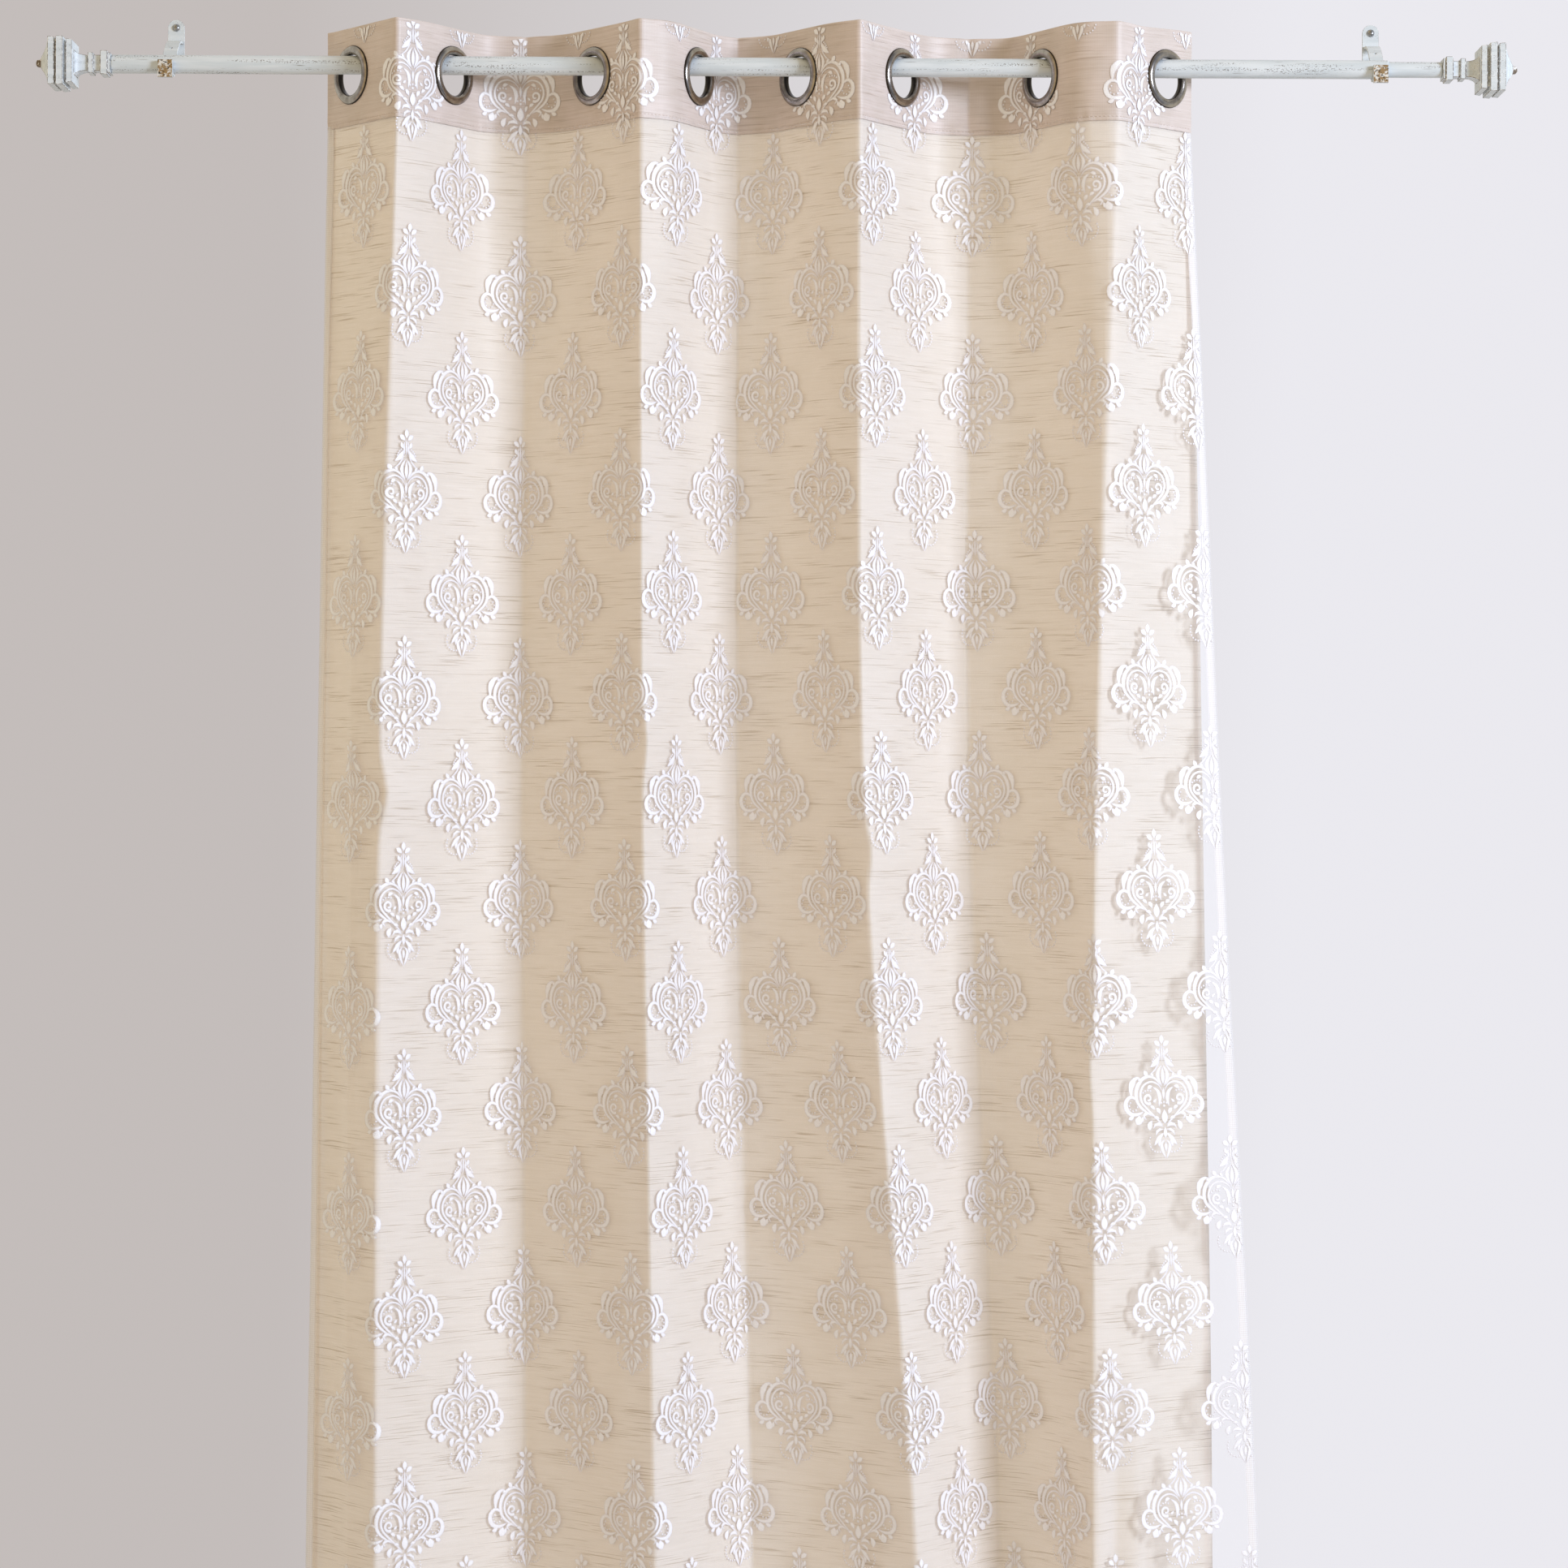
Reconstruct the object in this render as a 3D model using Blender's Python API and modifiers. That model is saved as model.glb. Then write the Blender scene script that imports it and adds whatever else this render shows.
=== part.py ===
"""Eyelet curtain of two cloths on its telescopic rod. Metres, +Z up, +X to the right.

A sheer panel hangs in front of a lining. Both are sewn into one heading band, whose eight eyelets
run on a rod with square finials, held by two wall brackets. The origin is the middle of the left
bracket's wall plate, on its back face, so the wall plane is y = 0 and the room is towards -Y.
"""

import math

import bmesh
import bpy
from mathutils import Matrix, Vector

GAP = 0.0003  # clearance between pieces that would touch

# Rod
ROD_OUT = 0.064  # wall to rod axis
ROD_DROP = 0.031  # wall plate's middle down to rod axis
OUTER_RADIUS = 0.0095
INNER_RADIUS = 0.0080
TUBE_WALL = 0.0010
OUTER_START = -0.0566  # left end of the outer tube
OUTER_END = 1.2480
INNER_START = 0.9500  # end of the inner tube that slides inside the outer one
INNER_END = 1.3030
TUBE_SIDES = 24

# Brackets
BRACKET_SPAN = 1.239
PLATE_WIDTH = 0.017
PLATE_HEIGHT = 0.052
PLATE_THICK = 0.003
STRAP_WIDTH = 0.014
STRAP_THICK = 0.0026
CRADLE_RADIUS = OUTER_RADIUS + 0.0004 + STRAP_THICK / 2
CRADLE_STEPS = 8
CRADLE_LIP = 0.0022  # the strap's end in front of the rod, above the rod axis
STRAP_HOLE = 0.0016  # radius of the hole through the strap, behind the rod
BOSS_HEIGHT = 0.018
BOSS_THICK = 0.0045
BOSS_EXTRA = 0.001  # how much wider the boss is than the strap
BOSS_BEVEL = 0.0012
BOSS_RAISE = 0.0025  # the boss's top, above the rod axis
BOSS_SUNK = 0.0012  # how deep the boss sits in the strap
SCREW_ABOVE = 0.0175  # plate's middle up to its screw
SCREW_SHANK = 0.0019
SCREW_HEAD = 0.0039
ROUND_STEPS = 16  # sides of screws, spigots and small holes

# The strap from the wall plate to the back of its cradle.
STRAP_ROUTE = [
    # y and z from the rod axis
    (0.0625, 0.0330),
    (0.0460, 0.0310),
    (0.0330, 0.0245),
    (0.0220, 0.0160),
    (0.0145, 0.0080),
]
HOLE_BETWEEN = (2, 3)  # the strap's hole is midway between these two points of its route

# Eyelets
EYELET_INNER = 0.0205
EYELET_OUTER = 0.0300
EYELET_BARREL = 0.0228  # outside of the barrel that passes through the cloth
EYELET_DEPTH = 0.0046  # crown of each rim from the cloth's middle
EYELET_DROP = 0.0102  # rod axis down to eyelet centre
EYELET_STEPS = 20
EYELET_FLAT = 0.031  # cloth lies flat this far each side of an eyelet's centre

# Cloth
HEADING_TOP = 0.0384  # above the rod axis
HEADING_DEPTH = 0.100
HEADING_THICK = 0.0024
SHEET_THICK = 0.0010
FULL_DROP = 2.134  # top edge to the sheer's hem
LINING_SHORTER = 0.020
SEAM_SETTLE = 0.35  # below the seam, the length in which the eyelets' hold on the folds fades
SEAM_OFFSET = 0.0009  # lining behind and sheer in front of the heading's middle
CURVE_STEPS = 3  # columns from a fold's tip to the flat beside it
PANEL_STEEPNESS = 1.12  # slope in the middle of a panel, to the mean from tip to tip
PANEL_FLAT = 0.010  # half of the straight stretch in the middle of a free panel
SHARPEST_MITRE = 0.35  # least cosine by which a sideways shift is stretched at a corner

# Each eyelet: its place along the rod from the left bracket, and how far its cloth turns from the
# rod's line, in degrees. Odd ones come forward to the right, even ones go back.
EYELETS = [
    # x, turn
    (0.1894, 50.0),
    (0.2920, 55.0),
    (0.4353, 48.0),
    (0.5423, 61.0),
    (0.6465, 51.0),
    (0.7510, 52.5),
    (0.8940, 57.0),
    (1.0216, 43.5),
]

# Heights of the fold tables' columns, below the rod axis: seam, upper, lower, hem.
FOLD_LEVELS = (0.0616, 0.760, 1.530, 2.096)

# Folds from left to right. Each row: x along the rod at the four levels, then y from the rod axis
# at the same levels, with the room side negative. The first and last rows are the side edges.
LINING_FOLDS = {
    # name: (x seam, upper, lower, hem), (y seam, upper, lower, hem)
    "left_edge": ((0.1616, 0.1545, 0.1510, 0.1490), (0.031, 0.035, 0.030, 0.028)),
    "front_1": ((0.2405, 0.2250, 0.2245, 0.2260), (-0.060, -0.060, -0.056, -0.052)),
    "back_1": ((0.3644, 0.3620, 0.3705, 0.3740), (0.050, 0.050, 0.046, 0.044)),
    "front_2": ((0.4859, 0.4925, 0.5079, 0.5130), (-0.060, -0.060, -0.056, -0.052)),
    "back_2": ((0.5828, 0.5853, 0.6038, 0.6120), (0.050, 0.050, 0.046, 0.044)),
    "front_3": ((0.7076, 0.7158, 0.7732, 0.8000), (-0.060, -0.060, -0.056, -0.052)),
    "back_3": ((0.8222, 0.8255, 0.8614, 0.8850), (0.050, 0.050, 0.044, 0.040)),
    "front_4": ((0.9662, 0.9482, 0.9500, 0.9550), (-0.056, -0.060, -0.058, -0.054)),
    "right_edge": ((1.0490, 1.0652, 1.0785, 1.0840), (0.026, 0.020, 0.020, 0.018)),
}
SHEER_FOLDS = {
    "left_edge": ((0.1616, 0.1545, 0.1480, 0.1430), (0.031, 0.022, 0.014, 0.012)),
    "front_1": ((0.2405, 0.2250, 0.2245, 0.2260), (-0.060, -0.0612, -0.0575, -0.0538)),
    "back_1": ((0.3644, 0.3620, 0.3705, 0.3740), (0.050, 0.0488, 0.0445, 0.0422)),
    "front_2": ((0.4859, 0.4925, 0.5079, 0.5130), (-0.060, -0.0612, -0.0575, -0.0538)),
    "back_2": ((0.5828, 0.5853, 0.6038, 0.6120), (0.050, 0.0488, 0.0445, 0.0422)),
    "front_3": ((0.7076, 0.7158, 0.7732, 0.8000), (-0.060, -0.0612, -0.0575, -0.0538)),
    "back_3": ((0.8222, 0.8255, 0.8614, 0.8850), (0.050, 0.0488, 0.0425, 0.0382)),
    "front_4": ((0.9662, 0.9482, 0.9500, 0.9550), (-0.056, -0.0612, -0.0595, -0.0558)),
    "right_edge": ((1.0490, 1.0817, 1.1223, 1.1400), (0.026, 0.004, -0.004, -0.006)),
}

# How crisp each fold is at those heights: 0 is round, 1 is a crease.
CRISPNESS = {
    # name: seam, upper, lower, hem
    "left_edge": (1.0, 1.0, 1.0, 1.0),
    "front_1": (0.85, 0.85, 0.85, 0.85),
    "back_1": (1.00, 0.85, 0.85, 0.80),
    "front_2": (0.90, 0.90, 0.90, 0.60),
    "back_2": (1.00, 0.85, 0.80, 0.75),
    "front_3": (0.90, 0.90, 0.85, 0.40),
    "back_3": (1.00, 0.85, 0.80, 0.75),
    "front_4": (0.25, 0.80, 0.80, 0.80),
    "right_edge": (1.0, 1.0, 1.0, 1.0),
}

# How far behind the straight line between its folds the middle of each free panel lies.
PANEL_BOWS = (0.0, 0.0, 0.0, 0.0, 0.006, 0.0, 0.016, 0.0)

# Rows of the hanging sheets, as shares of the drop from seam to hem.
SHEET_ROWS = (0.0, 0.035, 0.08, 0.14, 0.22, 0.32, 0.44, 0.57, 0.70, 0.85, 1.0)

# Square finial, from the tube outwards: distance along the rod and half the width of its square.
FINIAL_PROFILE = [
    # along, half width
    (0.0000, 0.0104),
    (0.0026, 0.0104),
    (0.0030, 0.0120),
    (0.0098, 0.0120),
    (0.0104, 0.0080),
    (0.0172, 0.0080),
    (0.0178, 0.0104),
    (0.0226, 0.0104),
    (0.0236, 0.0078),
    (0.0280, 0.0082),
    (0.0330, 0.0098),
    (0.0366, 0.0124),
    (0.0372, 0.0216),
    (0.0430, 0.0224),
    (0.0438, 0.0196),
    (0.0454, 0.0196),
    (0.0460, 0.0244),
    (0.0530, 0.0248),
    (0.0536, 0.0214),
    (0.0546, 0.0214),
    (0.0552, 0.0238),
    (0.0614, 0.0242),
    (0.0636, 0.0170),
    (0.0676, 0.0104),
    (0.0714, 0.0050),
    (0.0728, 0.0035),
    (0.0756, 0.0034),
    (0.0770, 0.0014),
]
SPIGOT_LENGTH = 0.022
SPIGOT_SUNK = 0.004  # how deep the spigot starts inside the finial

COLOURS = {
    # finish: (red, green, blue), roughness, metallic
    "sheer_white": ((0.86, 0.85, 0.90), 0.55, 0.0),
    "lining_cream": ((0.80, 0.71, 0.55), 0.45, 0.0),
    "heading_cream": ((0.72, 0.62, 0.48), 0.50, 0.0),
    "eyelet_metal": ((0.42, 0.40, 0.41), 0.30, 1.0),
    "rod_paint": ((0.78, 0.78, 0.76), 0.55, 0.0),
    "screw_metal": ((0.62, 0.62, 0.62), 0.35, 1.0),
}


def clear_scene():
    for obj in list(bpy.data.objects):
        bpy.data.objects.remove(obj, do_unlink=True)


def new_collection(name):
    made = bpy.data.collections.new(name)
    bpy.context.scene.collection.children.link(made)
    return made


def paint(obj, finish):
    """Gives the object its own material with the finish's colour."""
    colour, roughness, metallic = COLOURS[finish]
    material = bpy.data.materials.new(f"{obj.name}_{finish}")
    material.use_nodes = True
    shader = material.node_tree.nodes["Principled BSDF"]
    shader.inputs["Base Color"].default_value = (*colour, 1.0)
    shader.inputs["Roughness"].default_value = roughness
    shader.inputs["Metallic"].default_value = metallic
    obj.data.materials.clear()
    obj.data.materials.append(material)


def add_object(name, data, collection):
    obj = bpy.data.objects.new(name, data)
    collection.objects.link(obj)
    return obj


def hide_cutter(obj):
    obj.hide_render = True
    obj.display_type = "WIRE"


def add_boolean(obj, other, operation):
    step = obj.modifiers.new(f"{operation}_{other.name}", "BOOLEAN")
    step.operation = operation
    step.solver = "EXACT"
    step.object = other


def hermite(start, slope_start, end, slope_end, share):
    """Point (x, y) on the cubic from start to end, whose slopes dy/dx at the ends are given."""
    x = start[0] + (end[0] - start[0]) * share
    width = end[0] - start[0]
    s2, s3 = share**2, share**3
    y = (2 * s3 - 3 * s2 + 1) * start[1] + (s3 - 2 * s2 + share) * width * slope_start
    y += (3 * s2 - 2 * s3) * end[1] + (s3 - s2) * width * slope_end
    return x, y


def smooth(share):
    share = min(max(share, 0.0), 1.0)
    return share * share * (3 - 2 * share)


def at_level(values, below):
    """A fold table's value at a height below the rod axis, on a smooth curve through its levels."""
    last = len(FOLD_LEVELS) - 1
    below = min(max(below, FOLD_LEVELS[0]), FOLD_LEVELS[last])
    slopes = []
    for i in range(last + 1):
        low, high = max(i - 1, 0), min(i + 1, last)
        slopes.append((values[high] - values[low]) / (FOLD_LEVELS[high] - FOLD_LEVELS[low]))
    i = max(k for k in range(last) if below >= FOLD_LEVELS[k])
    start, end = (FOLD_LEVELS[i], values[i]), (FOLD_LEVELS[i + 1], values[i + 1])
    share = (below - start[0]) / (end[0] - start[0])
    return hermite(start, slopes[i], end, slopes[i + 1], share)[1]


def settled(below):
    """How far the cloth has forgotten its eyelets at a height: 0 at the seam, then up to 1."""
    return smooth((below - FOLD_LEVELS[0]) / SEAM_SETTLE)


def panel_knot(index, left, right, below):
    """Middle of a panel: (x, y, slope, half of its straight stretch).

    At the seam it is the panel's eyelet, at the rod. Lower down the cloth forgets the eyelet.
    """
    eyelet_x, turn = EYELETS[index]
    forward = -1 if index % 2 == 0 else 1
    held = (eyelet_x, 0.0, forward * math.tan(math.radians(turn)), EYELET_FLAT)
    mean = (right[1] - left[1]) / (right[0] - left[0])
    middle = ((left[0] + right[0]) / 2, (left[1] + right[1]) / 2 + PANEL_BOWS[index])
    free = (*middle, mean * PANEL_STEEPNESS, PANEL_FLAT)
    share = settled(below)
    return [a + (b - a) * share for a, b in zip(held, free)]


def fold_line(folds, below):
    """The cloth seen from above at one height: points (x, y) from its left edge to its right."""
    tips = [(at_level(xs, below), at_level(ys, below)) for xs, ys in folds.values()]
    crisp = [at_level(values, below) for values in CRISPNESS.values()]
    points = []
    for i in range(len(EYELETS)):
        left, right = tips[i], tips[i + 1]
        x, y, slope, half = panel_knot(i, left, right, below)
        run = half / math.hypot(1, slope)
        flat_start, flat_end = (x - run, y - run * slope), (x + run, y + run * slope)
        last = i == len(EYELETS) - 1
        left_slope = crisp[i] * (flat_start[1] - left[1]) / (flat_start[0] - left[0])
        right_slope = crisp[i + 1] * (right[1] - flat_end[1]) / (right[0] - flat_end[0])
        for k in range(CURVE_STEPS + 1):
            points.append(hermite(left, left_slope, flat_start, slope, k / CURVE_STEPS))
        for k in range(CURVE_STEPS + (1 if last else 0)):
            points.append(hermite(flat_end, slope, right, right_slope, k / CURVE_STEPS))
    return points


def shifted(points, distance):
    """The line moved sideways by distance, towards the wall where it is positive."""
    runs = [(Vector(b) - Vector(a)).normalized() for a, b in zip(points, points[1:])]
    sides = [Vector((-run.y, run.x)) for run in runs]
    made = []
    for point, before, after in zip(points, sides[:1] + sides, sides + sides[-1:]):
        out = (before + after).normalized()
        made.append(tuple(Vector(point) + out * distance / max(out.dot(after), SHARPEST_MITRE)))
    return made


def cloth_sheet(name, rows, thickness, collection):
    """A solid sheet on rows of points from above, each row (points, z), in the row's order."""
    mesh = bmesh.new()
    lines = []
    for points, z in rows:
        lines.append([mesh.verts.new((x, y - ROD_OUT, z - ROD_DROP)) for x, y in points])
    for upper, lower in zip(lines, lines[1:]):
        for i in range(len(upper) - 1):
            mesh.faces.new((upper[i], lower[i], lower[i + 1], upper[i + 1]))
    data = bpy.data.meshes.new(name)
    mesh.to_mesh(data)
    mesh.free()
    data.shade_smooth()
    obj = add_object(name, data, collection)
    solid = obj.modifiers.new("Thickness", "SOLIDIFY")
    solid.thickness = thickness
    solid.offset = 0
    solid.use_even_offset = True
    return obj


def hanging_sheet(name, folds, drop, offset, collection):
    """A panel from the heading's seam down to its hem."""
    seam = HEADING_TOP - HEADING_DEPTH
    top = seam - GAP
    rows = []
    for share in SHEET_ROWS:
        z = top + (HEADING_TOP - drop - top) * share
        rows.append((shifted(fold_line(folds, -z), offset), z))
    return cloth_sheet(name, rows, SHEET_THICK, collection)


def cylinder(name, radius, depth, sides, matrix, collection):
    mesh = bmesh.new()
    bmesh.ops.create_cone(
        mesh, cap_ends=True, segments=sides, radius1=radius, radius2=radius, depth=depth
    )
    data = bpy.data.meshes.new(name)
    mesh.to_mesh(data)
    mesh.free()
    obj = add_object(name, data, collection)
    obj.matrix_world = matrix
    return obj


def eyelet_frame(index):
    """An eyelet's place and turn: its own Z axis is square to the cloth."""
    x, turn = EYELETS[index]
    forward = -1 if index % 2 == 0 else 1
    place = Matrix.Translation((x, -ROD_OUT, -ROD_DROP - EYELET_DROP))
    return place @ Matrix.Rotation(math.radians(forward * turn), 4, "Z") @ Matrix.Rotation(
        math.radians(90), 4, "X"
    )


def make_heading(parts, cutters):
    line = fold_line(LINING_FOLDS, FOLD_LEVELS[0])
    rows = [(line, HEADING_TOP), (line, HEADING_TOP - HEADING_DEPTH)]
    heading = cloth_sheet("heading", rows, HEADING_THICK, parts)
    paint(heading, "heading_cream")
    hole = (EYELET_BARREL + GAP) / math.cos(math.pi / EYELET_STEPS)
    for i in range(len(EYELETS)):
        depth = 10 * HEADING_THICK
        name = f"heading_hole_{i + 1}"
        cutter = cylinder(name, hole, depth, EYELET_STEPS, eyelet_frame(i), cutters)
        hide_cutter(cutter)
        add_boolean(heading, cutter, "DIFFERENCE")


def turned(name, outline, steps, closed, collection):
    """A solid turned about its own Z axis from an outline of (radius, height) points."""
    verts = [(radius, 0.0, height) for radius, height in outline]
    edges = [(i, i + 1) for i in range(len(verts) - 1)]
    if closed:
        edges.append((len(verts) - 1, 0))
    data = bpy.data.meshes.new(name)
    data.from_pydata(verts, edges, [])
    obj = add_object(name, data, collection)
    screw = obj.modifiers.new("Turn", "SCREW")
    screw.axis = "Z"
    screw.steps = steps
    screw.render_steps = steps
    screw.use_merge_vertices = True
    screw.merge_threshold = 0.00001
    return obj


def make_eyelets(parts):
    """Two pressed rims joined by a barrel, clamped over the cloth with a little play."""
    groove = HEADING_THICK / 2 + GAP
    front = [
        # radius, height from the cloth's middle
        (EYELET_INNER + 0.0013, EYELET_DEPTH - 0.0020),
        (EYELET_INNER + 0.0036, EYELET_DEPTH - 0.0004),
        (EYELET_OUTER - 0.0036, EYELET_DEPTH),
        (EYELET_OUTER - 0.0010, EYELET_DEPTH - 0.0012),
        (EYELET_OUTER, groove),
        (EYELET_BARREL, groove),
    ]
    back = [(radius, -height) for radius, height in front[::-1]]
    outline = [(EYELET_INNER, 0.0), *front, *back]
    for i in range(len(EYELETS)):
        eyelet = turned(f"eyelet_{i + 1}", outline, EYELET_STEPS, True, parts)
        eyelet.matrix_world = eyelet_frame(i)
        paint(eyelet, "eyelet_metal")


def along_rod(x, pointing=1):
    """Places a turned piece on the rod's axis with its own Z along +X, or -X where pointing is -1."""
    turn = Matrix.Rotation(math.radians(90 * pointing), 4, "Y")
    return Matrix.Translation((x, -ROD_OUT, -ROD_DROP)) @ turn


def make_tube(name, radius, start, end, parts):
    half = (end - start) / 2
    inside = radius - TUBE_WALL
    outline = [(radius, half), (radius, -half), (inside, -half), (inside, half)]
    tube = turned(name, outline, TUBE_SIDES, True, parts)
    tube.matrix_world = along_rod((start + end) / 2)
    paint(tube, "rod_paint")


def make_finial(name, tube_end, tube_radius, pointing, parts, cutters):
    """Square in section: an outline turned in four steps, whose corners are its widest points."""
    square = [(half * math.sqrt(2), along) for along, half in FINIAL_PROFILE]
    outline = [(0.0, FINIAL_PROFILE[-1][0]), *square[::-1], (0.0, 0.0)]
    finial = turned(name, outline, 4, False, parts)
    base = along_rod(tube_end + pointing * GAP, pointing)
    finial.matrix_world = base @ Matrix.Rotation(math.radians(45), 4, "Z")
    spigot_radius = tube_radius - TUBE_WALL - GAP
    place = base @ Matrix.Translation((0, 0, (SPIGOT_SUNK - SPIGOT_LENGTH) / 2))
    depth = SPIGOT_LENGTH + SPIGOT_SUNK
    spigot = cylinder(f"{name}_spigot", spigot_radius, depth, ROUND_STEPS, place, cutters)
    hide_cutter(spigot)
    add_boolean(finial, spigot, "UNION")
    paint(finial, "rod_paint")


def plate_outline():
    """Wall plate seen from the room: straight sides, round top and bottom."""
    radius = PLATE_WIDTH / 2
    rise = PLATE_HEIGHT / 2 - radius
    half_turn = ROUND_STEPS // 2
    points = []
    for centre, start in ((rise, 0), (-rise, 180)):
        for k in range(half_turn + 1):
            angle = math.radians(start + 180 * k / half_turn)
            points.append((radius * math.cos(angle), centre + radius * math.sin(angle)))
    return points


def extruded_outline(name, points, thickness, collection):
    """A flat outline in X and Z, from y = 0 to y = -thickness."""
    mesh = bmesh.new()
    face = mesh.faces.new([mesh.verts.new((x, 0.0, z)) for x, z in points])
    grown = bmesh.ops.extrude_face_region(mesh, geom=[face])
    moved = [item for item in grown["geom"] if isinstance(item, bmesh.types.BMVert)]
    bmesh.ops.translate(mesh, verts=moved, vec=(0, -thickness, 0))
    bmesh.ops.recalc_face_normals(mesh, faces=mesh.faces)
    data = bpy.data.meshes.new(name)
    mesh.to_mesh(data)
    mesh.free()
    return add_object(name, data, collection)


def strap_route():
    """The strap seen from its side, as (y, z) from the rod axis: out from the plate, down behind the
    rod, under it and up in front."""
    route = list(STRAP_ROUTE)
    for k in range(CRADLE_STEPS + 1):
        angle = math.radians(-180 * k / CRADLE_STEPS)
        route.append((CRADLE_RADIUS * math.cos(angle), CRADLE_RADIUS * math.sin(angle)))
    route.append((-CRADLE_RADIUS, CRADLE_LIP))
    return route


def strap_hole_frame():
    """The place of the strap's hole: its own Z axis is square to the strap."""
    upper, lower = (Vector((0.0, *STRAP_ROUTE[k])) for k in HOLE_BETWEEN)
    middle = (upper + lower) / 2 - Vector((0.0, ROD_OUT, ROD_DROP))
    along = upper - lower
    tilt = math.atan2(along.z, along.y)
    return Matrix.Translation(middle) @ Matrix.Rotation(tilt, 4, "X")


def make_strap(name, collection):
    mesh = bmesh.new()
    half = STRAP_WIDTH / 2
    pairs = []
    for y, z in strap_route():
        place = (y - ROD_OUT, z - ROD_DROP)
        pairs.append((mesh.verts.new((-half, *place)), mesh.verts.new((half, *place))))
    for first, second in zip(pairs, pairs[1:]):
        mesh.faces.new((first[0], second[0], second[1], first[1]))
    data = bpy.data.meshes.new(name)
    mesh.to_mesh(data)
    mesh.free()
    strap = add_object(name, data, collection)
    solid = strap.modifiers.new("Thickness", "SOLIDIFY")
    solid.thickness = STRAP_THICK
    solid.offset = 0
    solid.use_even_offset = True
    return strap


def make_boss(name, collection):
    """The square ornament on the cradle's front."""
    mesh = bmesh.new()
    bmesh.ops.create_cube(mesh, size=1.0)
    data = bpy.data.meshes.new(name)
    size = (STRAP_WIDTH + BOSS_EXTRA, BOSS_THICK, BOSS_HEIGHT)
    bmesh.ops.scale(mesh, verts=mesh.verts, vec=size)
    mesh.to_mesh(data)
    mesh.free()
    boss = add_object(name, data, collection)
    bevel = boss.modifiers.new("Edges", "BEVEL")
    bevel.width = BOSS_BEVEL
    bevel.segments = 1
    return boss


def drill(obj, name, radius, matrix, cutters):
    cutter = cylinder(name, radius, 4 * PLATE_THICK, ROUND_STEPS, matrix, cutters)
    hide_cutter(cutter)
    add_boolean(obj, cutter, "DIFFERENCE")


def screw_frame(x):
    """A screw's place on the wall: its own Z axis points into the room."""
    return Matrix.Translation((x, 0, SCREW_ABOVE)) @ Matrix.Rotation(math.radians(90), 4, "X")


def make_bracket(name, x, parts, cutters):
    """Wall plate, strap with its cradle and boss, as one piece."""
    plate = extruded_outline(name, plate_outline(), PLATE_THICK, parts)
    plate.location.x = x
    strap = make_strap(f"{name}_strap", cutters)
    strap.location.x = x
    boss = make_boss(f"{name}_boss", cutters)
    front = CRADLE_RADIUS + STRAP_THICK / 2 + BOSS_THICK / 2 - BOSS_SUNK
    boss.location = (x, -ROD_OUT - front, -ROD_DROP - BOSS_HEIGHT / 2 + BOSS_RAISE)
    for piece in (strap, boss):
        hide_cutter(piece)
        add_boolean(plate, piece, "UNION")
    drill(plate, f"{name}_screw_hole", SCREW_SHANK + GAP, screw_frame(x), cutters)
    strap_place = Matrix.Translation((x, 0, 0)) @ strap_hole_frame()
    drill(plate, f"{name}_strap_hole", STRAP_HOLE, strap_place, cutters)
    paint(plate, "rod_paint")


def make_screw(name, x, parts):
    """A domed wall screw, whose shank fills the plate's hole and ends at the wall."""
    outline = [
        # radius, height from the wall
        (0.0, PLATE_THICK + GAP + 0.0024),
        (0.0016, PLATE_THICK + GAP + 0.0022),
        (0.0030, PLATE_THICK + GAP + 0.0014),
        (SCREW_HEAD, PLATE_THICK + GAP),
        (SCREW_SHANK, PLATE_THICK + GAP),
        (SCREW_SHANK, GAP),
        (0.0, GAP),
    ]
    screw = turned(name, outline, ROUND_STEPS, False, parts)
    screw.matrix_world = screw_frame(x)
    paint(screw, "screw_metal")


def main():
    clear_scene()
    parts = new_collection("burnout_curtain")
    cutters = new_collection("cutters")
    make_heading(parts, cutters)
    make_eyelets(parts)
    drop = FULL_DROP - LINING_SHORTER
    lining = hanging_sheet("lining", LINING_FOLDS, drop, SEAM_OFFSET, parts)
    paint(lining, "lining_cream")
    sheer = hanging_sheet("sheer", SHEER_FOLDS, FULL_DROP, -SEAM_OFFSET, parts)
    paint(sheer, "sheer_white")
    make_tube("rod_outer", OUTER_RADIUS, OUTER_START, OUTER_END, parts)
    make_tube("rod_inner", INNER_RADIUS, INNER_START, INNER_END, parts)
    make_finial("finial_left", OUTER_START, OUTER_RADIUS, -1, parts, cutters)
    make_finial("finial_right", INNER_END, INNER_RADIUS, 1, parts, cutters)
    for side, x in (("left", 0.0), ("right", BRACKET_SPAN)):
        make_bracket(f"bracket_{side}", x, parts, cutters)
        make_screw(f"screw_{side}", x, parts)


main()
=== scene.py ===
"""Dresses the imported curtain: woven cloths, a damask burnt into the sheer, plated eyelets, painted rod.

Metres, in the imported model's frame: the left bracket's wall plate is at the origin, +X runs along the
rod to the right, -Y faces the room and +Z is up.
"""

import math

import bmesh
import bpy
import numpy as np
from mathutils import Matrix, Vector, noise

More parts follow.
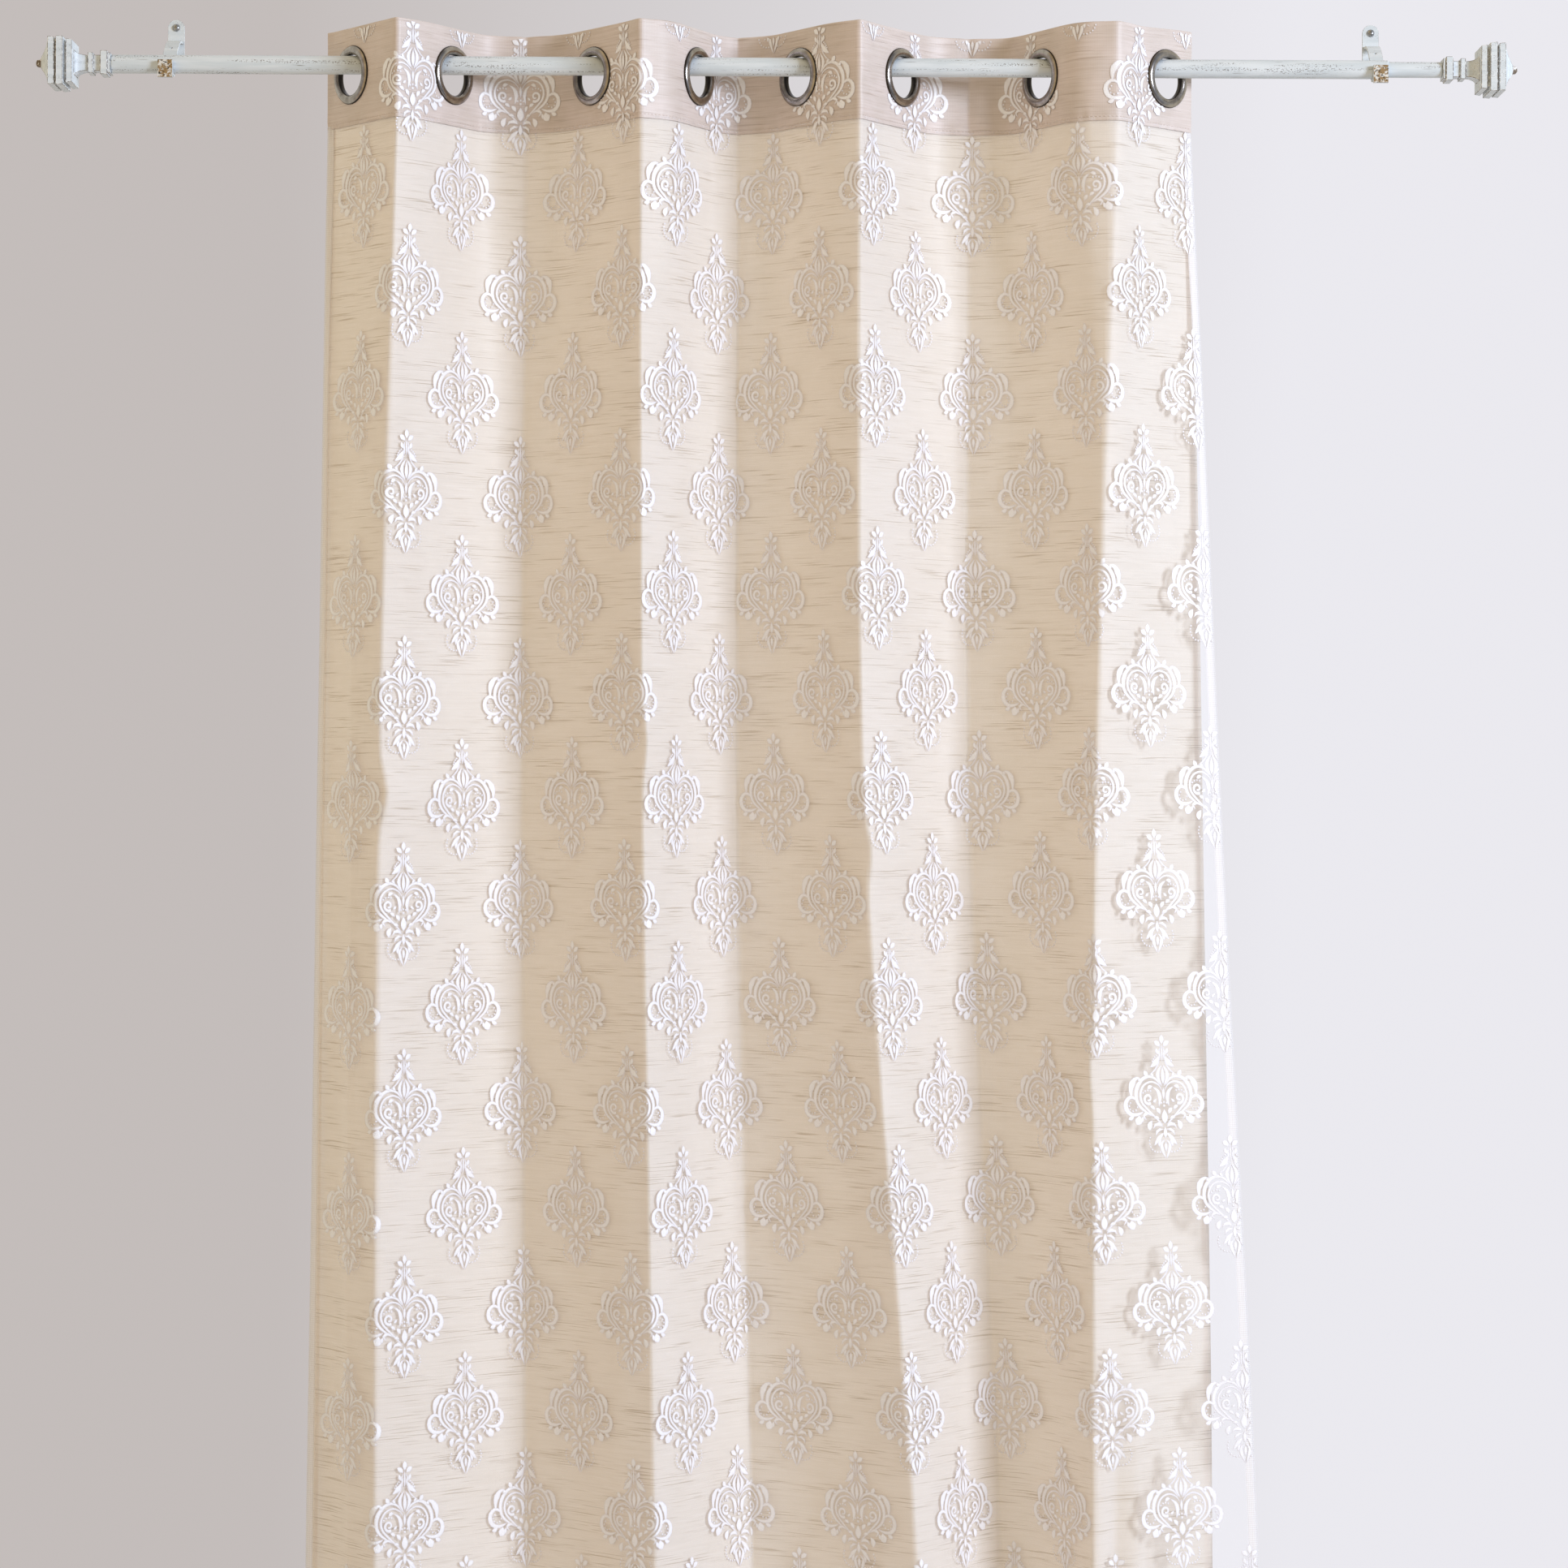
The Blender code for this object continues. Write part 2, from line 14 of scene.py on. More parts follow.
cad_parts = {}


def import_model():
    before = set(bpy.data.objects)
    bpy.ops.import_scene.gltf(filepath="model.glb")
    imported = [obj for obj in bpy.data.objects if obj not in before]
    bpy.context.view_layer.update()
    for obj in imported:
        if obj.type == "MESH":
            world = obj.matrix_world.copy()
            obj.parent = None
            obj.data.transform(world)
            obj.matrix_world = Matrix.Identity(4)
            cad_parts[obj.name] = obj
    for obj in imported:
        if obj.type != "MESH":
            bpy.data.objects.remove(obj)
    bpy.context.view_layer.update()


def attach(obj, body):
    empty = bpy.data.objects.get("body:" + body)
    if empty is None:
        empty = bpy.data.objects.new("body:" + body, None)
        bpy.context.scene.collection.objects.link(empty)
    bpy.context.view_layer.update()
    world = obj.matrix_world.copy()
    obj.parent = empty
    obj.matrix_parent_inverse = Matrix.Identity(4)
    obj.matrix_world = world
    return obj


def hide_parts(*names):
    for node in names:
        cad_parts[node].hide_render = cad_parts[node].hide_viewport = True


MM = 0.001

# Rod, heading and eyelets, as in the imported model
ROD_OUT = 0.064
ROD_DROP = 0.031
OUTER_RADIUS = 0.0095
INNER_RADIUS = 0.0080
TUBE_WALL = 0.0010
OUTER_START = -0.0566
OUTER_END = 1.2480
INNER_START = 0.9500
INNER_END = 1.3030
BRACKET_SPAN = 1.239
GAP = 0.0003
EYELET_INNER = 0.0205
EYELET_OUTER = 0.0300
EYELET_BARREL = 0.0228
EYELET_DEPTH = 0.0046
EYELET_DROP = 0.0102
EYELET_FLAT = 0.031
HEADING_TOP = 0.0384
HEADING_DEPTH = 0.100
HEADING_THICK = 0.0024
FLAT_WIDTH = 1.270
FULL_DROP = 2.134
LINING_SHORTER = 0.020
SEAM_SETTLE = 0.35
SEAM_OFFSET = 0.0009
PANEL_STEEPNESS = 1.12
PANEL_FLAT = 0.010
CURVE_STEPS = 9

EYELETS = [
    # x along the rod, turn of its cloth in degrees
    (0.1894, 50.0),
    (0.2920, 55.0),
    (0.4353, 48.0),
    (0.5423, 61.0),
    (0.6465, 51.0),
    (0.7510, 52.5),
    (0.8940, 57.0),
    (1.0216, 43.5),
]

# Heights of the fold tables' columns, below the rod axis: seam, upper, lower, hem.
FOLD_LEVELS = (0.0616, 0.760, 1.530, 2.096)

LINING_FOLDS = {
    # name: (x seam, upper, lower, hem), (y seam, upper, lower, hem)
    "left_edge": ((0.1616, 0.1545, 0.1510, 0.1490), (0.031, 0.035, 0.030, 0.028)),
    "front_1": ((0.2405, 0.2250, 0.2245, 0.2260), (-0.060, -0.060, -0.056, -0.052)),
    "back_1": ((0.3644, 0.3620, 0.3705, 0.3740), (0.050, 0.050, 0.046, 0.044)),
    "front_2": ((0.4859, 0.4925, 0.5079, 0.5130), (-0.060, -0.060, -0.056, -0.052)),
    "back_2": ((0.5828, 0.5853, 0.6038, 0.6120), (0.050, 0.050, 0.046, 0.044)),
    "front_3": ((0.7076, 0.7158, 0.7732, 0.8000), (-0.060, -0.060, -0.056, -0.052)),
    "back_3": ((0.8222, 0.8255, 0.8614, 0.8850), (0.050, 0.050, 0.044, 0.040)),
    "front_4": ((0.9662, 0.9482, 0.9500, 0.9550), (-0.056, -0.060, -0.058, -0.054)),
    "right_edge": ((1.0490, 1.0652, 1.0785, 1.0840), (0.026, 0.020, 0.020, 0.018)),
}
SHEER_FOLDS = {
    "left_edge": ((0.1616, 0.1545, 0.1480, 0.1430), (0.031, 0.022, 0.014, 0.012)),
    "front_1": ((0.2405, 0.2250, 0.2245, 0.2260), (-0.060, -0.0612, -0.0575, -0.0538)),
    "back_1": ((0.3644, 0.3620, 0.3705, 0.3740), (0.050, 0.0488, 0.0445, 0.0422)),
    "front_2": ((0.4859, 0.4925, 0.5079, 0.5130), (-0.060, -0.0612, -0.0575, -0.0538)),
    "back_2": ((0.5828, 0.5853, 0.6038, 0.6120), (0.050, 0.0488, 0.0445, 0.0422)),
    "front_3": ((0.7076, 0.7158, 0.7732, 0.8000), (-0.060, -0.0612, -0.0575, -0.0538)),
    "back_3": ((0.8222, 0.8255, 0.8614, 0.8850), (0.050, 0.0488, 0.0425, 0.0382)),
    "front_4": ((0.9662, 0.9482, 0.9500, 0.9550), (-0.056, -0.0612, -0.0595, -0.0558)),
    "right_edge": ((1.0490, 1.0817, 1.1223, 1.1400), (0.026, 0.004, -0.004, -0.006)),
}

# How crisp each fold is at those heights: 0 is round, 1 is a crease.
CRISPNESS = {
    # name: seam, upper, lower, hem
    "left_edge": (1.0, 1.0, 1.0, 1.0),
    "front_1": (0.85, 0.85, 0.85, 0.85),
    "back_1": (1.00, 0.85, 0.85, 0.80),
    "front_2": (0.90, 0.90, 0.90, 0.60),
    "back_2": (1.00, 0.85, 0.80, 0.75),
    "front_3": (0.90, 0.90, 0.85, 0.40),
    "back_3": (1.00, 0.85, 0.80, 0.75),
    "front_4": (0.25, 0.80, 0.80, 0.80),
    "right_edge": (1.0, 1.0, 1.0, 1.0),
}

# How far behind the straight line between its folds the middle of each free panel lies.
PANEL_BOWS = (0.0, 0.0, 0.0, 0.0, 0.006, 0.0, 0.016, 0.0)

# Where a front fold has been pinched, its edge jogs sideways.
DENTS = {
    # fold: below the rod axis, sideways, reach up and down
    "front_1": (0.745, 0.010, 0.024),
    "front_2": (0.690, 0.005, 0.030),
    "front_3": (0.802, 0.006, 0.022),
    "front_4": (1.019, -0.004, 0.030),
}

# Soft unevenness of the hanging cloths
RIPPLES = [
    # height, waves to the metre across, waves to the metre down
    (0.0022, 16.0, 1.4),
    (0.0009, 45.0, 3.2),
]
SHARE_THROUGH = 0.35  # of the lining's light comes through from behind
OWN_RIPPLE = 0.2  # share of a second set of waves that each cloth has to itself
PLEATS = [
    # along the rod at the top and at the hem, from how far down, width, height
    (0.197, 0.190, 0.35, 0.0030, 0.0016),
    (0.975, 0.970, 1.30, 0.0090, -0.0070),
    (0.994, 0.992, 1.30, 0.0060, 0.0030),
]
PLEAT_SWAY = 0.002  # how far a pleat wanders sideways on its way down
PLEAT_GROWTH = 0.3  # distance in which a pleat rises to its height
CORNER_LIFT = 0.004  # the heading's right corner is drawn up
CORNER_START = 0.93  # share of the width at which that lift starts
SIDE_HEM = 0.010
BOTTOM_HEM = 0.050
HEM_TURNED = 0.0006  # from a hem's front layer to the one behind it
UNDER_SEAM = 0.003  # each cloth runs on under the heading
SEAM_HOLDS = 0.12  # distance below the seam in which the ripples rise
OWN_START, OWN_GROWTH = 0.25, 0.5  # below the seam, where each cloth takes its own waves
SHARED_WAVES, LINING_WAVES, SHEER_WAVES = 3.7, 21.3, 33.9  # where their noise is taken from
PUCKER = 0.0010  # height of the seam's small gathers
PUCKER_REACH, BAND_PUCKER_REACH = 0.016, 0.010  # how far they run below and above the seam
PUCKER_WAVES, PUCKER_SEED = 150.0, 9.1
SEAM_UP = 0.004  # from the heading's lower edge up to its stitches
STITCH_SUNK = 0.0004
STITCH_GROOVE = 0.0012  # width of the groove that the stitches draw in
STITCH_LENGTH, STITCH_PITCH, STITCH_THREAD = 0.0030, 0.0042, 0.00032
RUMPLE = 0.0009  # unevenness of the stiffened heading
RUMPLE_WAVES, RUMPLE_SEED = 55.0, 4.4
BAND_HOLE = 0.0262  # radius of the heading's holes, hidden under the rims
RIM_SIDES = 72
COLUMN = 0.0045  # spacing of the cloth meshes' columns
ROW = 0.018

# Damask repeat, on the flat cloth
MOTIF_PITCH = 0.1492  # from one motif to the next in its row
MOTIF_REPEAT = 0.209  # from one row to the next but one
MOTIF_FIRST = (0.0665, 0.165)  # across and down to the first motif
MOTIF_RISE = 0.020  # how much higher the rows are at the right edge, as the cloth is cut off its grain
MOTIF_LIFT = 0.00030  # pile above the sheer
MOTIF_STEP = 3.2  # mm along a ribbon from one edge to the next
MOTIF_SPLIT = 4.25  # repeats from the first motif down to where the lower piece starts
BEAD_SIDES = 6
PILE = 0.07  # how high a ribbon's ridge stands, to its width
WIDEST_PILE = 3.4  # mm; wider leaves rise no higher than this width does

# The damask motif is charted in millimetres from its middle, x to the right and z up. The tables
# give the right half and what lies on the axis.
STROKES = {
    # name: (width at start, middle, end), points that it passes through
    "neck_side": ((1.2, 2.8, 1.2), (1.7, 50.5), (3.2, 46.0), (2.4, 41.0), (2.8, 36.5)),
    "neck_curl": ((1.4, 6.4, 1.6), (3.4, 41.5), (5.6, 36.8), (9.4, 33.0), (14.2, 30.0)),
    "neck_tail": ((1.2, 1.8, 1.0), (3.0, 36.0), (6.4, 30.0), (10.5, 25.6), (16.0, 22.2)),
    "drop_side": ((1.0, 4.6, 1.0), (0.9, 32.0), (5.2, 25.0), (5.2, 19.0), (1.0, 10.5)),
    "outer_band": (
        (1.6, 4.6, 1.8),
        (3.0, 11.5),
        (8.5, 18.0),
        (16.0, 20.6),
        (24.5, 17.8),
        (31.0, 9.5),
        (32.5, -0.5),
        (28.5, -9.5),
        (17.0, -18.5),
    ),
    "heart_line": (
        (1.4, 2.8, 1.8),
        (1.4, 6.0),
        (5.5, 12.0),
        (13.5, 15.2),
        (22.5, 12.2),
        (27.2, 4.0),
        (26.0, -5.0),
        (18.5, -13.6),
        (2.4, -28.6),
    ),
    "heart_crescent": ((1.2, 5.0, 1.2), (6.0, -10.0), (4.4, -1.0), (6.8, 6.0), (12.0, 9.8)),
    "shoulder": ((1.6, 7.0, 1.8), (27.0, 19.6), (33.0, 18.2), (38.0, 10.0), (38.2, -0.6)),
    "lobe_outer": (
        (1.6, 5.4, 2.2),
        (29.5, -7.0),
        (33.5, -1.6),
        (39.5, 0.2),
        (44.6, -4.6),
        (44.4, -12.0),
        (39.5, -17.0),
        (31.5, -17.4),
        (25.0, -15.0),
    ),
    "under_curl": ((1.2, 3.6, 1.2), (14.0, -19.6), (19.6, -16.6), (24.6, -18.8), (21.6, -23.0)),
    "base_scroll": ((1.5, 4.2, 1.4), (2.4, -30.4), (7.0, -27.6), (11.5, -28.6), (13.8, -32.0)),
    "collar": ((1.4, 3.8, 1.2), (2.0, -33.2), (6.2, -33.2), (9.8, -35.6), (11.2, -39.2)),
    "bell": ((1.6, 5.2, 2.2), (2.0, -37.0), (5.8, -40.4), (9.4, -44.6), (13.4, -49.0)),
    "pendant_rim": ((1.1, 4.4, 1.2), (0.9, -43.6), (4.8, -47.8), (4.2, -53.6), (0.5, -62.8)),
}
AXIS_STROKES = {
    # name: (width at start, middle, end), points that it passes through
    "stem": ((1.4, 2.4, 1.2), (0, 52.5), (0, 45.0), (0, 36.0)),
    "spine": ((1.3, 3.4, 1.3), (0, 9.0), (0, 3.4), (0, -2.6)),
}
LEAVES = {
    # name: base x, z, tip x, z, width, bend to the left of its run
    "top_lobe": (1.8, 50.8, 8.8, 56.0, 5.4, 0.6),
    "top_heart": (3.6, 42.6, 6.6, 49.2, 4.0, -0.6),
    "crown_spike": (17.0, 20.6, 21.8, 26.6, 5.0, -0.5),
    "crown_leaf": (10.4, 20.4, 13.6, 24.4, 3.4, -0.5),
    "heart_tuft": (12.6, 10.6, 18.8, 8.2, 4.0, 0.8),
    "heart_leaf_1": (5.0, -17.6, 9.6, -11.6, 4.6, 0.8),
    "heart_leaf_2": (11.0, -13.0, 16.6, -9.4, 3.8, 0.7),
    "heart_leaf_3": (9.0, -2.2, 13.0, -5.4, 3.0, -0.5),
    "under_lobe_1": (36.2, -18.6, 43.0, -21.6, 4.6, -0.9),
    "under_lobe_2": (30.0, -18.6, 33.6, -27.6, 8.8, -1.0),
    "under_lobe_3": (25.4, -19.6, 26.6, -25.6, 3.6, 0.6),
    "under_leaf": (15.0, -24.0, 18.0, -34.0, 6.0, 1.6),
    "inner_leaf": (6.2, -22.6, 12.6, -21.0, 3.6, 0.6),
    "bell_leaf": (5.4, -43.0, 8.0, -50.6, 3.6, 0.6),
}
AXIS_LEAVES = {
    # name: base x, z, tip x, z, width, bend
    "top_bud": (0, 53.0, 0, 62.8, 5.6, 0),
    "drop": (0, 30.4, 0, 12.6, 4.6, 0),
    "flame": (0, -13.0, 0, -27.4, 7.4, 0),
    "knot": (0, -30.6, 0, -42.0, 4.6, 0),
    "pendant_eye": (0, -56.0, 0, -46.0, 3.8, 0),
}
SPIRALS = {
    # name: centre x, z, first radius, last radius, first angle, turns, first width, last width
    "heart_curl": (18.4, -1.8, 5.6, 1.4, -120, 1.2, 3.4, 2.0),
}
BEADS = {
    # name: centre x, z, radius, first angle, last angle, count, bead's radius
    "top_beads": (-3.0, 29.5, 15.6, 52, 24, 4, 1.15),
    "heart_beads": (18.4, -1.8, 8.4, 112, 46, 4, 1.2),
    "lobe_beads": (36.4, -9.2, 4.8, -170, 50, 6, 1.1),
    "bell_beads": (8.6, -45.8, 10.6, 26, -100, 8, 1.1),
    "spine_side_bead": (3.2, -6.4, 0.0, 0, 0, 1, 1.3),
    "shoulder_curl": (27.6, 17.2, 0.0, 0, 0, 1, 2.2),
}
AXIS_BEADS = {
    "spine_bead_1": (0, -5.6, 0.0, 0, 0, 1, 1.3),
    "spine_bead_2": (0, -9.4, 0.0, 0, 0, 1, 1.5),
}

FINIAL_PROFILE = [
    # along from the tube's end, half width of its square
    (0.0000, 0.0104),
    (0.0026, 0.0104),
    (0.0030, 0.0120),
    (0.0098, 0.0120),
    (0.0104, 0.0080),
    (0.0172, 0.0080),
    (0.0178, 0.0104),
    (0.0226, 0.0104),
    (0.0236, 0.0078),
    (0.0280, 0.0082),
    (0.0310, 0.0089),
    (0.0335, 0.0099),
    (0.0353, 0.0111),
    (0.0366, 0.0124),
    (0.0372, 0.0216),
    (0.0430, 0.0224),
    (0.0438, 0.0196),
    (0.0454, 0.0196),
    (0.0460, 0.0244),
    (0.0530, 0.0248),
    (0.0536, 0.0214),
    (0.0546, 0.0214),
    (0.0552, 0.0238),
    (0.0614, 0.0242),
    (0.0624, 0.0200),
    (0.0640, 0.0160),
    (0.0660, 0.0125),
    (0.0685, 0.0090),
    (0.0714, 0.0050),
    (0.0728, 0.0035),
    (0.0756, 0.0034),
    (0.0770, 0.0014),
]
TIP_START = 0.0714

PLATE_WIDTH = 0.017
PLATE_HEIGHT = 0.052
PLATE_THICK = 0.003
STRAP_WIDTH = 0.014
STRAP_THICK = 0.0026
STRAP_HOLE = 0.0016
CRADLE_RADIUS = OUTER_RADIUS + 0.0004 + STRAP_THICK / 2
CRADLE_LIP = 0.0022
BOSS_HEIGHT = 0.018
BOSS_THICK = 0.0045
BOSS_EXTRA = 0.001
BOSS_RAISE = 0.0025
BOSS_SUNK = 0.0012
SCREW_ABOVE = 0.0175
SCREW_SHANK = 0.0019
SCREW_HEAD = 0.0039
STRAP_ROUTE = [
    # y and z from the rod axis
    (0.0625, 0.0330),
    (0.0460, 0.0310),
    (0.0330, 0.0245),
    (0.0220, 0.0160),
    (0.0145, 0.0080),
]

# Camera, as the photograph was taken
MIDDLE_X = 0.634
CAMERA_AT = (MIDDLE_X, -4.264, -0.764)
CAMERA_LENS = 94.3
CAMERA_ROLL = 0.26
FLOOR_CLEAR = 0.030
FLOOR_Z = -ROD_DROP + HEADING_TOP - FULL_DROP - FLOOR_CLEAR
FLOOR_RADIUS = 2.4
KEY_AT, KEY_SIZE, KEY_POWER = (5.30, -3.84, 0.7), 1.8, 330
KEY_COLOUR = (0.77, 0.85, 1.0)
KEY_TARGET = (MIDDLE_X, -ROD_OUT, -0.8)
ROOM_LIGHT = [
    # direction along X, colour: neutral, warm from the left, cool from the right
    (-1.0, "A49FA0"),
    (-0.7, "CBB898"),
    (-0.4, "D9C293"),
    (0.0, "B9AD98"),
    (0.5, "76787D"),
    (0.8, "81858C"),
    (1.0, "9AA3AE"),
]
WALL_LIGHT = [
    # direction along X, colour: the middle shows behind the curtain, the rest lights its back
    (-0.50, "D0CEC2"),
    (-0.30, "AEA8A6"),
    (-0.12, "AEA8A6"),
    (0.12, "D1D0D5"),
    (0.30, "D1D0D5"),
    (0.50, "D0CEC2"),
]
WORLD_STRENGTH = 1.3


def linear(code):
    """Linear red, green, blue and alpha of an sRGB hex value."""
    shares = [int(code[k : k + 2], 16) / 255 for k in (0, 2, 4)]
    return tuple(s / 12.92 if s <= 0.04045 else ((s + 0.055) / 1.055) ** 2.4 for s in shares) + (1.0,)


def add_node(tree, kind, inputs=None, **settings):
    """Adds a node with its settings. Each input is a value or another node's output."""
    node = tree.nodes.new(kind)
    for name, value in settings.items():
        setattr(node, name, value)
    for socket, value in (inputs or {}).items():
        if isinstance(value, bpy.types.NodeSocket):
            tree.links.new(value, node.inputs[socket])
        else:
            node.inputs[socket].default_value = value
    return node


def new_material(name, **sockets):
    """A material and its shader, whose sockets are set by name with _ for a space."""
    material = bpy.data.materials.new(name)
    material.use_nodes = True
    shader = material.node_tree.nodes["Principled BSDF"]
    for socket, value in sockets.items():
        shader.inputs[socket.replace("_", " ")].default_value = value
    return material, material.node_tree, shader


def layered(tree, ground, *layers):
    """Colours laid over a ground. Each layer is a mask, the most of it that shows and its colour."""
    colour = linear(ground)
    for mask, most, over in layers:
        share = add_node(tree, "ShaderNodeMath", {0: mask, 1: most}, operation="MULTIPLY")
        inputs = {0: share.outputs[0], 6: colour, 7: linear(over)}
        colour = add_node(tree, "ShaderNodeMix", inputs, data_type="RGBA").outputs[2]
    return colour


def raised(tree, shader, depth, *patterns):
    """Raises the surface by patterns up to a depth in metres. Each has its share of that depth."""
    height = 0.0
    for pattern, share in patterns:
        inputs = {0: pattern, 1: share, 2: height}
        height = add_node(tree, "ShaderNodeMath", inputs, operation="MULTIPLY_ADD").outputs[0]
    inputs = {"Height": height, "Strength": 0.35, "Distance": depth}
    bump = add_node(tree, "ShaderNodeBump", inputs)
    tree.links.new(bump.outputs["Normal"], shader.inputs["Normal"])


def streaks(tree, place, across, down, low, high, detail=2.0):
    """Stretched noise between 0 and 1, whose marks are across and down millimetres long."""
    scaled = add_node(
        tree,
        "ShaderNodeMapping",
        {"Vector": place, "Scale": (1000 / across, 1000 / down, 1000 / down)},
    )
    cloud = add_node(
        tree,
        "ShaderNodeTexNoise",
        {"Vector": scaled.outputs["Vector"], "Scale": 1.0, "Detail": detail, "Roughness": 0.55},
    )
    return add_node(
        tree,
        "ShaderNodeMapRange",
        {"Value": cloud.outputs["Fac"], "From Min": low, "From Max": high},
        interpolation_type="SMOOTHSTEP",
    ).outputs["Result"]


def threads(tree, place, across, down):
    """Crossing threads between 0 and 1, across and down millimetres apart."""
    scaled = add_node(
        tree,
        "ShaderNodeMapping",
        {"Vector": place, "Scale": (2000 * math.pi / across, 2000 * math.pi / down, 1.0)},
    )
    parts = add_node(tree, "ShaderNodeSeparateXYZ", {"Vector": scaled.outputs["Vector"]})
    waves = [
        add_node(tree, "ShaderNodeMath", {0: parts.outputs[k]}, operation="SINE").outputs[0]
        for k in (0, 1)
    ]
    both = add_node(tree, "ShaderNodeMath", {0: waves[0], 1: waves[1]}, operation="ADD")
    return add_node(
        tree, "ShaderNodeMapRange", {"Value": both.outputs[0], "From Min": -2.0, "From Max": 2.0}
    ).outputs["Result"]


def near_edge(tree, full, none):
    """1 up to a full distance from a piece's edge, in mm, falling to 0 where there is none of it."""
    place = add_node(tree, "ShaderNodeUVMap", uv_map="from_edge").outputs["UV"]
    inwards = add_node(tree, "ShaderNodeSeparateXYZ", {"Vector": place}).outputs["X"]
    return add_node(
        tree,
        "ShaderNodeMapRange",
        {"Value": inwards, "From Min": full * MM, "From Max": none * MM, "To Min": 1.0, "To Max": 0.0},
        interpolation_type="SMOOTHSTEP",
    ).outputs["Result"]


def lining_polyester():
    """Slubbed polyester satin: off-white, but the light that comes through it is a warm cream.

    The thick weft threads let less light through, so they are dark lines where the cloth is lit from
    behind; their gloss lets them shine where it is lit from the front, and paler streaks painted in as
    glints add to that.
    """
    material, tree, shader = new_material("slubbed_polyester_lining", Specular_IOR_Level=0.6)
    place = add_node(tree, "ShaderNodeUVMap", uv_map="cut").outputs["UV"]
    cloudy = streaks(tree, place, 90, 160, 0.30, 0.70)
    weft = streaks(tree, place, 60, 2.6, 0.35, 0.70, detail=3.0)
    bunches = streaks(tree, place, 130, 16, 0.40, 0.58, detail=1.0)
    thick = streaks(tree, place, 62, 1.25, 0.56, 0.66, detail=1.5)
    slubs = add_node(tree, "ShaderNodeMath", {0: thick, 1: bunches}, operation="MULTIPLY").outputs[0]
    # Painted glints: near-white streaks that stand in for threads shining where the cloth faces the
    # light.
    painted_glints = streaks(tree, place, 48, 1.5, 0.62, 0.72, detail=1.0)
    # A 0.2 mm thread is too fine to show, so the weave is drawn 1.8 mm apart.
    weave = threads(tree, place, 1.8, 1.8)
    colour = layered(
        tree,
        "F3EFE7",
        (cloudy, 1.0, "EDE8DE"),
        (weft, 0.30, "E2DACB"),
        (slubs, 0.80, "CDB898"),
        (painted_glints, 0.60, "FFFDF8"),
        (weave, 0.16, "FBF8F0"),
    )
    tree.links.new(colour, shader.inputs["Base Color"])
    warmth = layered(tree, "FFE8D2", (weft, 0.30, "E8CFB4"), (slubs, 0.80, "9A7C5A"))
    through = add_node(tree, "ShaderNodeBsdfTranslucent", {"Color": warmth})
    surfaces = {0: SHARE_THROUGH, 1: shader.outputs["BSDF"], 2: through.outputs["BSDF"]}
    both = add_node(tree, "ShaderNodeMixShader", surfaces)
    tree.links.new(both.outputs["Shader"], tree.nodes["Material Output"].inputs["Surface"])
    # The slub threads are the glossier ones, so they shine where the cloth faces the light.
    gloss = {"Value": slubs, "To Min": 0.52, "To Max": 0.34}
    rough = add_node(tree, "ShaderNodeMapRange", gloss).outputs["Result"]
    tree.links.new(rough, shader.inputs["Roughness"])
    raised(tree, shader, 0.0004, (weft, 0.5), (slubs, 0.7), (weave, 0.4))
    return material


def heading_polyester():
    """The same two cloths over a stiffener: closed, so pinker and less sheer than below."""
    material, tree, shader = new_material(
        "stiffened_polyester_heading", Roughness=0.5, Specular_IOR_Level=0.8
    )
    place = add_node(tree, "ShaderNodeUVMap", uv_map="cut").outputs["UV"]
    cloudy = streaks(tree, place, 40, 40, 0.30, 0.70)
    weft = streaks(tree, place, 60, 2.2, 0.35, 0.70, detail=3.0)
    slubs = streaks(tree, place, 60, 1.7, 0.62, 0.72, detail=1.0)
    weave = threads(tree, place, 1.8, 1.8)
    colour = layered(
        tree,
        "D9CAC3",
        (cloudy, 1.0, "CEC0B7"),
        (weft, 0.35, "B5A192"),
        (slubs, 0.40, "8F7662"),
        (weave, 0.14, "ECE2DC"),
    )
    tree.links.new(colour, shader.inputs["Base Color"])
    raised(tree, shader, 0.0004, (weft, 0.5), (slubs, 0.5), (weave, 0.5))
    return material


def sheer_voile(name, alpha, tone):
    """Burnt-out polyester voile: a thin white veil that whitens what hangs behind it."""
    material, tree, shader = new_material(name, Roughness=0.5, Alpha=alpha)
    place = add_node(tree, "ShaderNodeUVMap", uv_map="cut").outputs["UV"]
    # Its threads are far finer than this, and are drawn 2.2 mm apart to show at all.
    weave = threads(tree, place, 2.2, 2.2)
    tree.links.new(layered(tree, tone, (weave, 1.0, "FFFFFF")), shader.inputs["Base Color"])
    return material


def motif_pile():
    """The cotton pile left by the burning out: white, and grey with painted shadow along its cut edges.
    """
    material, tree, shader = new_material(
        "burnout_cotton_pile", Roughness=0.45, Specular_IOR_Level=1.0
    )
    place = add_node(tree, "ShaderNodeUVMap", uv_map="cut").outputs["UV"]
    # Painted shadow: the cut edges are greyed towards lavender, as if shaded by the raised pile.
    edge = near_edge(tree, 0.225, 1.125)
    tufts = streaks(tree, place, 1.4, 1.4, 0.3, 0.7)
    thin = streaks(tree, place, 14, 14, 0.35, 0.7)
    colour = layered(
        tree, "F1EFF2", (tufts, 1.0, "F9F8FA"), (thin, 0.20, "E6E0E1"), (edge, 0.60, "D2CACF")
    )
    tree.links.new(colour, shader.inputs["Base Color"])
    raised(tree, shader, 0.0003, (tufts, 1.0))
    return material


